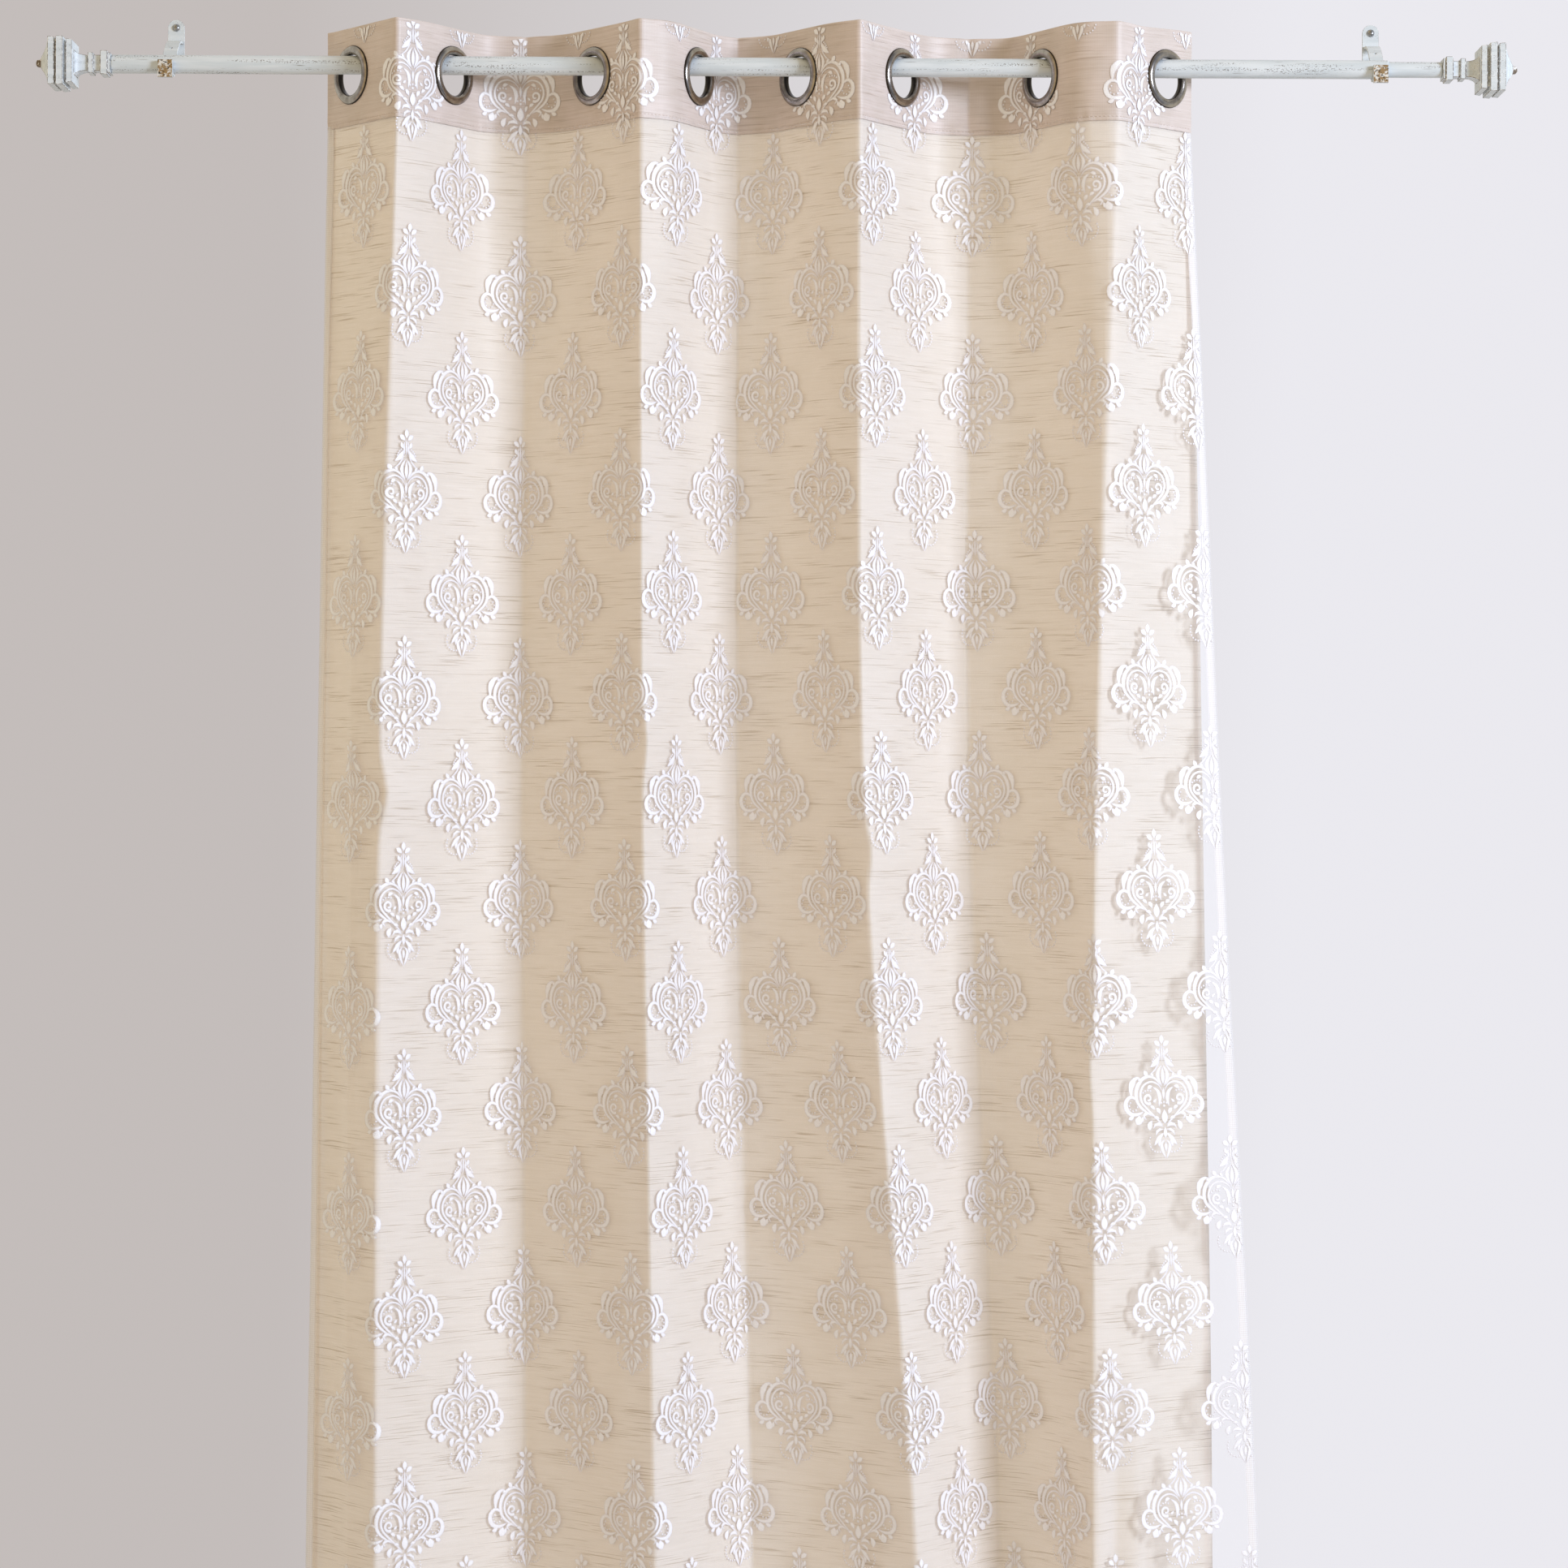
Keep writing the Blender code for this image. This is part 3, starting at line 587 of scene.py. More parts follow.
def brushed_nickel():
    """Pressed steel plated with dark nickel: satin, with painted shade and dark reflection in brown-black
    along its edges.
    """
    material, tree, shader = new_material("dark_nickel_plate", Metallic=1.0, Roughness=0.20)
    # Painted shade and dark reflection: the rolled edges are near-black under any lamp.
    painted_edge_shade = near_edge(tree, 0.4, 1.2)
    spot = add_node(tree, "ShaderNodeTexCoord").outputs["Object"]
    clouds = streaks(tree, spot, 9.0, 9.0, 0.3, 0.7)
    colour = layered(tree, "ADA6A1", (clouds, 1.0, "8F8781"), (painted_edge_shade, 0.92, "241F1C"))
    tree.links.new(colour, shader.inputs["Base Color"])
    return material


def white_enamel(name, crazed):
    """Enamel brushed over steel: cool white, with rows of dark pits where it has crazed."""
    material, tree, shader = new_material(name, Roughness=0.42)
    place = add_node(tree, "ShaderNodeTexCoord").outputs["Object"]
    clouds = streaks(tree, place, 60, 6, 0.3, 0.7)
    specks = streaks(tree, place, 1.6, 0.8, 0.60, 0.66, detail=0.0)
    zones = streaks(tree, place, 110, 4.5, 0.52, 0.62, detail=1.0)
    pits = add_node(tree, "ShaderNodeMath", {0: specks, 1: zones}, operation="MULTIPLY").outputs[0]
    cracks = streaks(tree, place, 24, 0.7, 0.72, 0.76, detail=1.0)
    colour = layered(
        tree,
        "DCE2E6",
        (clouds, 1.0, "CDD5DA"),
        (pits, 0.85 * crazed, "77726D"),
        (cracks, 0.8 * crazed, "75695E"),
    )
    tree.links.new(colour, shader.inputs["Base Color"])
    raised(tree, shader, 0.0003, (pits, -0.8), (cracks, -0.6))
    return material


def worn_edge():
    """Enamel rubbed thin along its edges, so that the brown undercoat and steel show."""
    material, tree, shader = new_material("rubbed_enamel_edge", Roughness=0.5)
    place = add_node(tree, "ShaderNodeTexCoord").outputs["Object"]
    rubbed = streaks(tree, place, 3.0, 3.0, 0.36, 0.52)
    tree.links.new(layered(tree, "E8E6E2", (rubbed, 1.0, "6E5E4E")), shader.inputs["Base Color"])
    return material


def worn_boss():
    """The boss's face, worn through to a mottled brown in its middle."""
    material, tree, shader = new_material("rubbed_enamel_boss", Roughness=0.5)
    place = add_node(tree, "ShaderNodeTexCoord").outputs["Object"]
    rubbed = streaks(tree, place, 4.0, 3.0, 0.40, 0.56, detail=4.0)
    bare = streaks(tree, place, 2.2, 1.6, 0.56, 0.62)
    colour = layered(tree, "DEDCD6", (rubbed, 1.0, "94784F"), (bare, 1.0, "2E2A26"))
    tree.links.new(colour, shader.inputs["Base Color"])
    raised(tree, shader, 0.0003, (rubbed, 1.0))
    return material


def zinc_screw():
    """Zinc-plated steel, faintly mottled."""
    material, tree, shader = new_material("zinc_plate", Metallic=1.0, Roughness=0.32)
    place = add_node(tree, "ShaderNodeTexCoord").outputs["Object"]
    mottle = streaks(tree, place, 1.5, 1.5, 0.3, 0.7)
    tree.links.new(layered(tree, "B9BABC", (mottle, 1.0, "8F9193")), shader.inputs["Base Color"])
    return material


def hermite(start, slope_start, end, slope_end, share):
    """Point (x, y) on the cubic from start to end, whose slopes dy/dx at the ends are given."""
    x = start[0] + (end[0] - start[0]) * share
    width = end[0] - start[0]
    s2, s3 = share**2, share**3
    y = (2 * s3 - 3 * s2 + 1) * start[1] + (s3 - 2 * s2 + share) * width * slope_start
    y += (3 * s2 - 2 * s3) * end[1] + (s3 - s2) * width * slope_end
    return x, y


def smooth(share):
    """Eases a share from 0 to 1, flat at both ends."""
    share = np.clip(share, 0.0, 1.0)
    return share * share * (3 - 2 * share)


def at_level(values, below):
    """A fold table's value at a height below the rod axis, on a smooth curve through its levels."""
    last = len(FOLD_LEVELS) - 1
    below = min(max(below, FOLD_LEVELS[0]), FOLD_LEVELS[last])
    slopes = []
    for i in range(last + 1):
        low, high = max(i - 1, 0), min(i + 1, last)
        slopes.append((values[high] - values[low]) / (FOLD_LEVELS[high] - FOLD_LEVELS[low]))
    i = max(k for k in range(last) if below >= FOLD_LEVELS[k])
    start, end = (FOLD_LEVELS[i], values[i]), (FOLD_LEVELS[i + 1], values[i + 1])
    share = (below - start[0]) / (end[0] - start[0])
    return hermite(start, slopes[i], end, slopes[i + 1], share)[1]


def settled(below):
    """How far the cloth has forgotten its eyelets at a height: 0 at the seam, then up to 1."""
    return smooth((below - FOLD_LEVELS[0]) / SEAM_SETTLE)


def panel_knot(index, left, right, below):
    """Middle of a panel: (x, y, slope, half of its straight stretch)."""
    eyelet_x, turn = EYELETS[index]
    forward = -1 if index % 2 == 0 else 1
    held = (eyelet_x, 0.0, forward * math.tan(math.radians(turn)), EYELET_FLAT)
    mean = (right[1] - left[1]) / (right[0] - left[0])
    middle = ((left[0] + right[0]) / 2, (left[1] + right[1]) / 2 + PANEL_BOWS[index])
    free = (*middle, mean * PANEL_STEEPNESS, PANEL_FLAT)
    share = settled(below)
    return [a + (b - a) * share for a, b in zip(held, free)]


def dent(name, below):
    """How far a pinched fold jogs sideways at a height."""
    if name not in DENTS:
        return 0.0
    height, sideways, reach = DENTS[name]
    return sideways * math.exp(-(((below - height) / reach) ** 2))


def fold_line(folds, below):
    """The cloth seen from above at one height: points (x, y) from its left edge to its right."""
    tips = [
        (at_level(xs, below) + dent(name, below), at_level(ys, below))
        for name, (xs, ys) in folds.items()
    ]
    crisp = [at_level(values, below) for values in CRISPNESS.values()]
    points = []
    for i in range(len(EYELETS)):
        left, right = tips[i], tips[i + 1]
        x, y, slope, half = panel_knot(i, left, right, below)
        run = half / math.hypot(1, slope)
        flat_start, flat_end = (x - run, y - run * slope), (x + run, y + run * slope)
        last = i == len(EYELETS) - 1
        left_slope = crisp[i] * (flat_start[1] - left[1]) / (flat_start[0] - left[0])
        right_slope = crisp[i + 1] * (right[1] - flat_end[1]) / (right[0] - flat_end[0])
        for k in range(CURVE_STEPS + 1):
            points.append(hermite(left, left_slope, flat_start, slope, k / CURVE_STEPS))
        for k in range(CURVE_STEPS + (1 if last else 0)):
            points.append(hermite(flat_end, slope, right, right_slope, k / CURVE_STEPS))
    return np.array(points)


def across_cloth(folds, below, shares):
    """Places (x, y) at shares of the cloth's width at one height, and directions to the room."""
    line = fold_line(folds, below)
    run = np.append(0.0, np.cumsum(np.hypot(*np.diff(line, axis=0).T)))
    at = shares * run[-1]

    def places(where):
        return np.stack([np.interp(where, run, line[:, k]) for k in (0, 1)], 1)

    reach = 0.0035
    along = places(at + reach) - places(at - reach)
    along /= np.linalg.norm(along, axis=1)[:, None]
    return places(at), np.stack((along[:, 1], -along[:, 0]), 1)


def ripples(u, v, seed):
    """Uneven waves over a cloth, in metres, row by row."""
    field = np.zeros((len(v), len(u)))
    for height, across, down in RIPPLES:
        for row, low in enumerate(v):
            for column, over in enumerate(u):
                field[row, column] += height * noise.noise((over * across, low * down, seed))
    return field


def pleats(x, down):
    """How far small pleats bring the cloths forward at places along the rod, at one height."""
    forward = np.zeros(len(x))
    for top, hem, start, width, height in PLEATS:
        middle = top + (hem - top) * down / FULL_DROP + PLEAT_SWAY * math.sin(9 * down)
        grown = smooth((down - start) / PLEAT_GROWTH)
        forward += height * grown * np.exp(-(((x - middle) / width) ** 2))
    return forward


def hang(folds, u, v, forward):
    """Points of a cloth and directions to the room, row by row.

    u runs across its cut and v down it, and forward is how far in front of its middle each point is.
    """
    points = np.empty((len(v), len(u), 3))
    room = np.zeros_like(points)
    at_corner = smooth((u / FLAT_WIDTH - CORNER_START) / (1 - CORNER_START))
    for row, down in enumerate(v):
        places, toward = across_cloth(folds, down - HEADING_TOP, u / FLAT_WIDTH)
        away = forward[row] + pleats(places[:, 0], down)
        points[row, :, :2] = places + toward * away[:, None]
        room[row, :, :2] = toward
        lift = CORNER_LIFT * at_corner * (1 - smooth(down / HEADING_DEPTH))
        points[row, :, 2] = HEADING_TOP - down + lift
    points += (0.0, -ROD_OUT, -ROD_DROP)
    return points, room


def grid_faces(rows, columns):
    """Quads of a grid whose vertices go row by row, seen from the room."""
    index = np.arange(rows * columns).reshape(rows, columns)
    corners = (index[:-1, :-1], index[1:, :-1], index[1:, 1:], index[:-1, 1:])
    return np.stack(corners, -1).reshape(-1, 4)


def new_object(name, data):
    """An object of the scene that shows a mesh, a lamp or a camera."""
    made = bpy.data.objects.new(name, data)
    bpy.context.scene.collection.objects.link(made)
    return made


def new_piece(name, points, faces, materials, slot, **maps):
    """A smooth piece that rides with the curtain. Each map gives its points places to draw on."""
    mesh = bpy.data.meshes.new(name)
    faces = faces.tolist() if isinstance(faces, np.ndarray) else faces
    mesh.from_pydata(np.asarray(points).reshape(-1, 3).tolist(), [], faces)
    for material in materials:
        mesh.materials.append(material)
    for map_name, places in maps.items():
        layer = mesh.uv_layers.new(name=map_name)
        corner = np.empty(len(mesh.loops), int)
        mesh.loops.foreach_get("vertex_index", corner)
        places = np.asarray(places, np.float32).reshape(-1, 2)
        layer.uv.foreach_set("vector", places[corner].ravel())
    mesh.shade_smooth()
    piece = new_object(name, mesh)
    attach(piece, "root")
    return piece


def spread(start, end, step):
    """Evenly spaced numbers from start to end, about step apart."""
    return np.linspace(start, end, max(2, round(abs(end - start) / step) + 1))


def gathers(u):
    """Small puckers where the cloths are sewn to the heading, across the cut."""
    field = [noise.noise((over * PUCKER_WAVES, 0.0, PUCKER_SEED)) for over in u]
    return PUCKER * np.array(field)[None, :]


def hanging_cloth(name, folds, drop, forward, seed, materials, slot, hem_material):
    """A cloth below the heading, with its side and bottom hems turned back."""
    u_mid = spread(0.0, FLAT_WIDTH, COLUMN)
    v_mid = spread(HEADING_DEPTH - UNDER_SEAM, drop, ROW)
    u = np.concatenate(([SIDE_HEM, 0.0], u_mid, [FLAT_WIDTH, FLAT_WIDTH - SIDE_HEM]))
    v = np.concatenate((v_mid, [drop, drop - BOTTOM_HEM]))
    behind = np.zeros((len(v), len(u)))
    behind[:, [0, 1, -2, -1]] = HEM_TURNED
    behind[-2:, :] += 2 * HEM_TURNED
    shared = ripples(u, v, SHARED_WAVES)
    own = ripples(u, v, seed)
    rise = smooth((v - HEADING_DEPTH) / SEAM_HOLDS)[:, None]
    free = smooth((v - HEADING_DEPTH - OWN_START) / OWN_GROWTH)[:, None]
    near_seam = np.exp(-(((v - HEADING_DEPTH) / PUCKER_REACH) ** 2))[:, None]
    away = forward + rise * shared + free * own * OWN_RIPPLE + near_seam * gathers(u) - behind
    points, room = hang(folds, u, v, away)
    cut = np.stack(np.meshgrid(u, v), -1)
    faces = grid_faces(len(v), len(u))
    piece = new_piece(name, points, faces, materials, slot, cut=cut)
    if hem_material is not None:
        centre = cut.reshape(-1, 2)[faces].mean(axis=1)
        edge = (centre[:, 0] < SIDE_HEM) | (centre[:, 0] > FLAT_WIDTH - SIDE_HEM)
        edge |= centre[:, 1] > drop - BOTTOM_HEM
        piece.data.materials.append(hem_material)
        piece.data.polygons.foreach_set("material_index", edge.astype(np.int32) * len(materials))
    inner = slice(2, len(u) - 2)
    rows = slice(0, len(v_mid))
    return piece, points[rows, inner], room[rows, inner], u_mid, v_mid


def eyelet_cuts():
    """Each eyelet's centre on the flat cloth, across and down."""
    shares = np.linspace(0, 1, 4001)
    places, _ = across_cloth(LINING_FOLDS, FOLD_LEVELS[0], shares)
    found = []
    for x, _ in EYELETS:
        nearest = np.argmin(np.hypot(places[:, 0] - x, places[:, 1]))
        found.append((shares[nearest] * FLAT_WIDTH, HEADING_TOP + EYELET_DROP))
    return found


def outside_eyelets(u, v, radius):
    """True for each place on the cut that is further than a radius from every eyelet."""
    keep = np.ones(np.shape(u), bool)
    for centre_u, centre_v in eyelet_cuts():
        keep &= np.hypot(u - centre_u, v - centre_v) > radius
    return keep


def heading_band(material):
    """The band that holds the eyelets, folded over at its top and sewn to the cloths at its seam."""
    half = HEADING_THICK / 2
    straight = spread(HEADING_DEPTH, half, 0.004)
    arc = np.radians(np.arange(15, 180, 15))
    down = np.concatenate((straight, half - half * np.sin(arc), straight[::-1]))
    forward = np.concatenate(
        (np.full(len(straight), half), half * np.cos(arc), np.full(len(straight), -half))
    )
    u = spread(0.0, FLAT_WIDTH, 0.003)
    near_seam = np.exp(-(((HEADING_DEPTH - down) / BAND_PUCKER_REACH) ** 2))[:, None]
    stitch = np.exp(-(((down - HEADING_DEPTH + SEAM_UP) / STITCH_GROOVE) ** 2))[:, None]
    away = forward[:, None] + near_seam * gathers(u)
    away = away - np.sign(forward)[:, None] * stitch * STITCH_SUNK
    places = [[(over * RUMPLE_WAVES, low * RUMPLE_WAVES, RUMPLE_SEED) for over in u] for low in down]
    rumple = np.array([[noise.noise(place) for place in row] for row in places])
    flattened = np.clip(1.5 - 0.5 * eyelet_distance(u, down), 0.0, 1.0)
    away = away + rumple * RUMPLE * (1 - flattened)
    points, room = hang(LINING_FOLDS, u, down, away)
    cut = np.stack(np.meshgrid(u, down), -1)
    faces = grid_faces(len(down), len(u))
    # The table runs up the front and down the back, so its faces are turned to look outwards.
    faces = faces[:, ::-1]
    centre = cut.reshape(-1, 2)[faces].mean(axis=1)
    faces = faces[outside_eyelets(centre[:, 0], centre[:, 1], BAND_HOLE)]
    piece = new_piece("heading_band", points, faces, [material], "heading_cream", cut=cut)
    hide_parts("heading")
    return piece, points[: len(straight)][::-1], room[: len(straight)][::-1], u, straight[::-1]


def eyelet_distance(u, v):
    """Distance to the nearest eyelet's centre, in rim radii, row by row."""
    over, low = np.meshgrid(u, v)
    nearest = np.full(over.shape, 9.0)
    for centre_u, centre_v in eyelet_cuts():
        nearest = np.minimum(nearest, np.hypot(over - centre_u, low - centre_v) / EYELET_OUTER)
    return nearest


def path_through(points, step):
    """A smooth path through points, about step apart."""
    ends = [2 * points[0] - points[1], *points, 2 * points[-1] - points[-2]]
    path = []
    for before, start, end, after in zip(ends, ends[1:], ends[2:], ends[3:]):
        count = max(1, round(np.linalg.norm(end - start) / step))
        for k in range(count):
            t = k / count
            path.append(
                0.5
                * (
                    2 * start
                    + (end - before) * t
                    + (2 * before - 5 * start + 4 * end - after) * t**2
                    + (3 * start - before - 3 * end + after) * t**3
                )
            )
    path.append(points[-1])
    return np.array(path)


def ribbon(path, widths, mirrored, layer):
    """A raised ribbon along a path, as points (x, z, height, distance from its edge) and faces."""
    along = np.gradient(path, axis=0)
    along /= np.linalg.norm(along, axis=1)[:, None]
    side = np.stack((-along[:, 1], along[:, 0]), 1) * (widths / 2)[:, None]
    ridge = PILE * np.minimum(widths, WIDEST_PILE)
    flat = np.zeros(len(path))
    lines = [
        np.column_stack((path + side, flat, flat)),
        np.column_stack((path, ridge, widths / 2)),
        np.column_stack((path - side, flat, flat)),
    ]
    points = np.concatenate(lines)
    points[:, 2] += layer
    faces = []
    count = len(path)
    for k in range(count - 1):
        for line in (0, count):
            faces.append((line + k, line + count + k, line + count + k + 1, line + k + 1))
    if mirrored:
        points[:, 0] *= -1
        faces = [face[::-1] for face in faces]
    return points, faces


def motif_shapes():
    """Every ribbon of the motif as (path, widths, both sides)."""
    shapes = []
    for table, both in ((STROKES, True), (AXIS_STROKES, False)):
        for widths, *points in table.values():
            path = path_through([np.array(p, float) for p in points], MOTIF_STEP)
            share = np.linspace(0, 1, len(path))
            ends = np.minimum(1.0, 0.35 + 8 * np.minimum(share, 1 - share))
            shapes.append((path, np.interp(share, (0, 0.5, 1), widths) * ends, both))
    for table, both in ((LEAVES, True), (AXIS_LEAVES, False)):
        for x, z, tip_x, tip_z, width, bend in table.values():
            base, tip = np.array((x, z), float), np.array((tip_x, tip_z), float)
            along = tip - base
            left = np.array((-along[1], along[0])) / np.linalg.norm(along)
            middle = (base + tip) / 2 + left * bend
            count = max(5, round(np.linalg.norm(along) / MOTIF_STEP * 1.6))
            path = path_through([base, middle, tip], np.linalg.norm(along) / count)
            share = np.linspace(0, 1, len(path))
            shapes.append((path, np.maximum(width * np.sin(math.pi * share**1.15) ** 0.8, 0.3), both))
    for x, z, first, last, angle, turns, width, end_width in SPIRALS.values():
        steps = round(14 * turns)
        share = np.linspace(0, 1, steps + 1)
        radius = first + (last - first) * share
        turn = np.radians(angle + 360 * turns * share)
        path = np.column_stack((x + radius * np.cos(turn), z + radius * np.sin(turn)))
        shapes.append((path, width + (end_width - width) * share, True))
    return shapes


def motif_beads():
    """Every bead of the motif as (x, z, radius, both sides)."""
    beads = []
    for table, both in ((BEADS, True), (AXIS_BEADS, False)):
        for x, z, arc, first, last, count, radius in table.values():
            for k in range(count):
                angle = math.radians(first + (last - first) * k / max(count - 1, 1))
                beads.append((x + arc * math.cos(angle), z + arc * math.sin(angle), radius, both))
    return beads


def motif_chart():
    """The whole motif as ribbon's points in millimetres, and its faces."""
    points, faces = [], []
    count = 0

    def take(new_points, new_faces):
        nonlocal count
        points.append(np.asarray(new_points, float))
        faces.extend(tuple(count + i for i in face) for face in new_faces)
        count += len(new_points)

    for layer, (path, widths, both) in enumerate(motif_shapes()):
        for mirrored in (False, True) if both else (False,):
            take(*ribbon(path, widths, mirrored, 0.012 * layer))
    for x, z, radius, both in motif_beads():
        for mirror in (1, -1) if both else (1,):
            ring = [math.radians(360 * k / BEAD_SIDES) for k in range(BEAD_SIDES)]
            rim = [(radius * math.cos(a), radius * math.sin(a), 0.1, 0.0) for a in ring]
            bead = np.array([*rim, (0.0, 0.0, 0.1 + radius * 0.5, radius)])
            fan = [(BEAD_SIDES, k, (k + 1) % BEAD_SIDES) for k in range(BEAD_SIDES)]
            take(bead + (mirror * x, z, 0.0, 0.0), fan)
    return np.concatenate(points), faces


def on_cloth(surface, u, v, lift):
    """Points on a laid-out cloth at places u, v of its cut, lifted off it towards the room."""
    points, room, grid_u, grid_v = surface
    column = np.clip(np.searchsorted(grid_u, u, "right") - 1, 0, len(grid_u) - 2)
    row = np.clip(np.searchsorted(grid_v, v, "right") - 1, 0, len(grid_v) - 2)
    over = ((u - grid_u[column]) / (grid_u[column + 1] - grid_u[column]))[:, None]
    low = ((v - grid_v[row]) / (grid_v[row + 1] - grid_v[row]))[:, None]

    def between(field):
        upper = field[row, column] * (1 - over) + field[row, column + 1] * over
        lower = field[row + 1, column] * (1 - over) + field[row + 1, column + 1] * over
        return upper * (1 - low) + lower * low

    return between(points) + between(room) * lift[:, None]


def motif_centres():
    """Middles of the motifs on the flat cloth: two sets of rows, half a repeat apart."""
    first_u, first_v = MOTIF_FIRST
    centres = []
    for half in (0, 1):
        for k in range(-1, round(FULL_DROP / MOTIF_REPEAT) + 1):
            down = first_v + (k + half / 2) * MOTIF_REPEAT
            over = first_u + half * MOTIF_PITCH / 2
            while over < FLAT_WIDTH:
                rise = MOTIF_RISE * over / FLAT_WIDTH * smooth(down / 0.8)
                centres.append((over, down - rise))
                over += MOTIF_PITCH
    return centres


def motifs(name, first, last, surfaces, material):
    """The motifs whose middles lie from first to last down the cloth, as one piece."""
    chart, chart_faces = motif_chart()
    heading, sheer = surfaces
    points, cuts, inwards, faces = [], [], [], []
    count = 0
    for over, down in motif_centres():
        if not first <= down < last:
            continue
        u = over + chart[:, 0] * MM
        v = down - chart[:, 1] * MM
        keep = (u > 0.001) & (u < FLAT_WIDTH - 0.001) & (v > 0.002) & (v < FULL_DROP - 0.002)
        keep &= outside_eyelets(u, v, EYELET_OUTER - 0.001)
        if not keep.any():
            continue
        lift = MOTIF_LIFT + chart[:, 2] * MM
        safe_u, safe_v = np.clip(u, 0.0, FLAT_WIDTH), np.clip(v, 0.0, FULL_DROP)
        band = safe_v < HEADING_DEPTH
        placed = np.where(
            band[:, None],
            on_cloth(heading, safe_u, safe_v, lift),
            on_cloth(sheer, safe_u, safe_v, lift),
        )
        used = np.flatnonzero(keep)
        new_index = np.full(len(chart), -1)
        kept_faces = [face for face in chart_faces if keep[list(face)].all()]
        new_index[used] = count + np.arange(len(used))
        faces.extend(tuple(int(new_index[i]) for i in face) for face in kept_faces)
        points.append(placed[used])
        cuts.append(np.column_stack((u, v))[used])
        inwards.append(chart[used][:, [3, 3]] * MM)
        count += len(used)
    places = {"cut": np.concatenate(cuts), "from_edge": np.concatenate(inwards)}
    piece = new_piece(name, np.concatenate(points), faces, [material], "sheer_white", **places)
    loose = bmesh.new()
    loose.from_mesh(piece.data)
    bmesh.ops.delete(loose, geom=[p for p in loose.verts if not p.link_faces], context="VERTS")
    loose.to_mesh(piece.data)
    loose.free()
    return piece


def seam_stitches(surface, material):
    """Thread of the seam that closes the heading, one stitch after another."""
    down = HEADING_DEPTH - SEAM_UP
    points, faces = [], []
    sides = 6
    for start in np.arange(STITCH_PITCH, FLAT_WIDTH - STITCH_PITCH, STITCH_PITCH):
        u = start + np.array((0.0, 0.15, 0.5, 0.85, 1.0)) * STITCH_LENGTH
        rise = np.array((-0.0003, 0.0001, 0.0003, 0.0001, -0.0003))
        spine = on_cloth(surface, u, np.full(len(u), down), rise)
        along = spine[-1] - spine[0]
        along /= np.linalg.norm(along)
        out = np.cross(along, (0, 0, 1.0))
        base = len(points)
        for centre in spine:
            for k in range(sides):
                angle = 2 * math.pi * k / sides
                rim = out * math.cos(angle) + np.array((0, 0, math.sin(angle)))
                points.append(centre + STITCH_THREAD * rim)
        for ring in range(len(spine) - 1):
            for k in range(sides):
                a, b = base + ring * sides + k, base + ring * sides + (k + 1) % sides
                faces.append((a, b, b + sides, a + sides))
        last = base + (len(spine) - 1) * sides
        faces.append(tuple(range(base + sides - 1, base - 1, -1)))
        faces.append(tuple(range(last, last + sides)))
    return new_piece("heading_stitches", points, faces, [material], "heading_cream")


def turned(name, outline, sides, closed, material, slot, **maps):
    """A piece turned about its own Z axis from an outline of (radius, height) points."""
    outline = np.array(outline, float)
    angles = np.linspace(0, 2 * math.pi, sides, endpoint=False)
    radius, height = outline[:, :1], outline[:, 1:]
    level = height + 0 * angles
    points = np.stack((radius * np.cos(angles), radius * np.sin(angles), level), -1)
    faces = []
    count = len(outline)
    for i in range(count if closed else count - 1):
        for k in range(sides):
            j, m = (i + 1) % count, (k + 1) % sides
            faces.append((i * sides + k, i * sides + m, j * sides + m, j * sides + k))
    piece = new_piece(name, points, faces, [material], slot, **maps)
    mesh = bmesh.new()
    mesh.from_mesh(piece.data)
    bmesh.ops.remove_doubles(mesh, verts=mesh.verts, dist=0.000001)
    bmesh.ops.recalc_face_normals(mesh, faces=mesh.faces)
    mesh.to_mesh(piece.data)
    mesh.free()
    return piece


def eyelet_rims(material):
    """Two pressed rims rolled into each other through the cloth."""
    half = HEADING_THICK / 2 + GAP
    front = [
        # radius, height from the cloth's middle
        (EYELET_INNER + 0.0001, 0.0016),
        (EYELET_INNER + 0.0007, 0.0030),
        (EYELET_INNER + 0.0018, 0.0040),
        (EYELET_INNER + 0.0034, EYELET_DEPTH - 0.0001),
        (EYELET_INNER + 0.0052, EYELET_DEPTH),
        (EYELET_INNER + 0.0068, EYELET_DEPTH - 0.0004),
        (EYELET_INNER + 0.0082, EYELET_DEPTH - 0.0012),
        (EYELET_OUTER - 0.0004, EYELET_DEPTH - 0.0021),
        (EYELET_OUTER, half + 0.0003),
        (EYELET_OUTER - 0.0004, half),
        (EYELET_BARREL, half),
    ]
    back = [(radius, -height) for radius, height in front[::-1]]
    outline = [(EYELET_INNER, 0.0), *front, *back]
    edge = [min(radius - EYELET_INNER, EYELET_OUTER - radius) for radius, _ in outline]
    inwards = np.repeat(edge, RIM_SIDES)[:, None] * (1.0, 1.0)
    for i, (x, turn) in enumerate(EYELETS):
        rim = turned(
            f"eyelet_rim_{i + 1}", outline, RIM_SIDES, True, material, "eyelet_metal", from_edge=inwards
        )
        forward = -1 if i % 2 == 0 else 1
        place = Matrix.Translation((x, -ROD_OUT, -ROD_DROP - EYELET_DROP))
        spin = Matrix.Rotation(math.radians(forward * turn), 4, "Z")
        rim.data.transform(place @ spin @ Matrix.Rotation(math.radians(90), 4, "X"))
        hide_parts(f"eyelet_{i + 1}")


def along_rod(x, pointing=1):
    """Lays a piece turned about Z along the rod, with its foot at x."""
    turn = Matrix.Rotation(math.radians(90 * pointing), 4, "Y")
    return Matrix.Translation((x, -ROD_OUT, -ROD_DROP)) @ turn


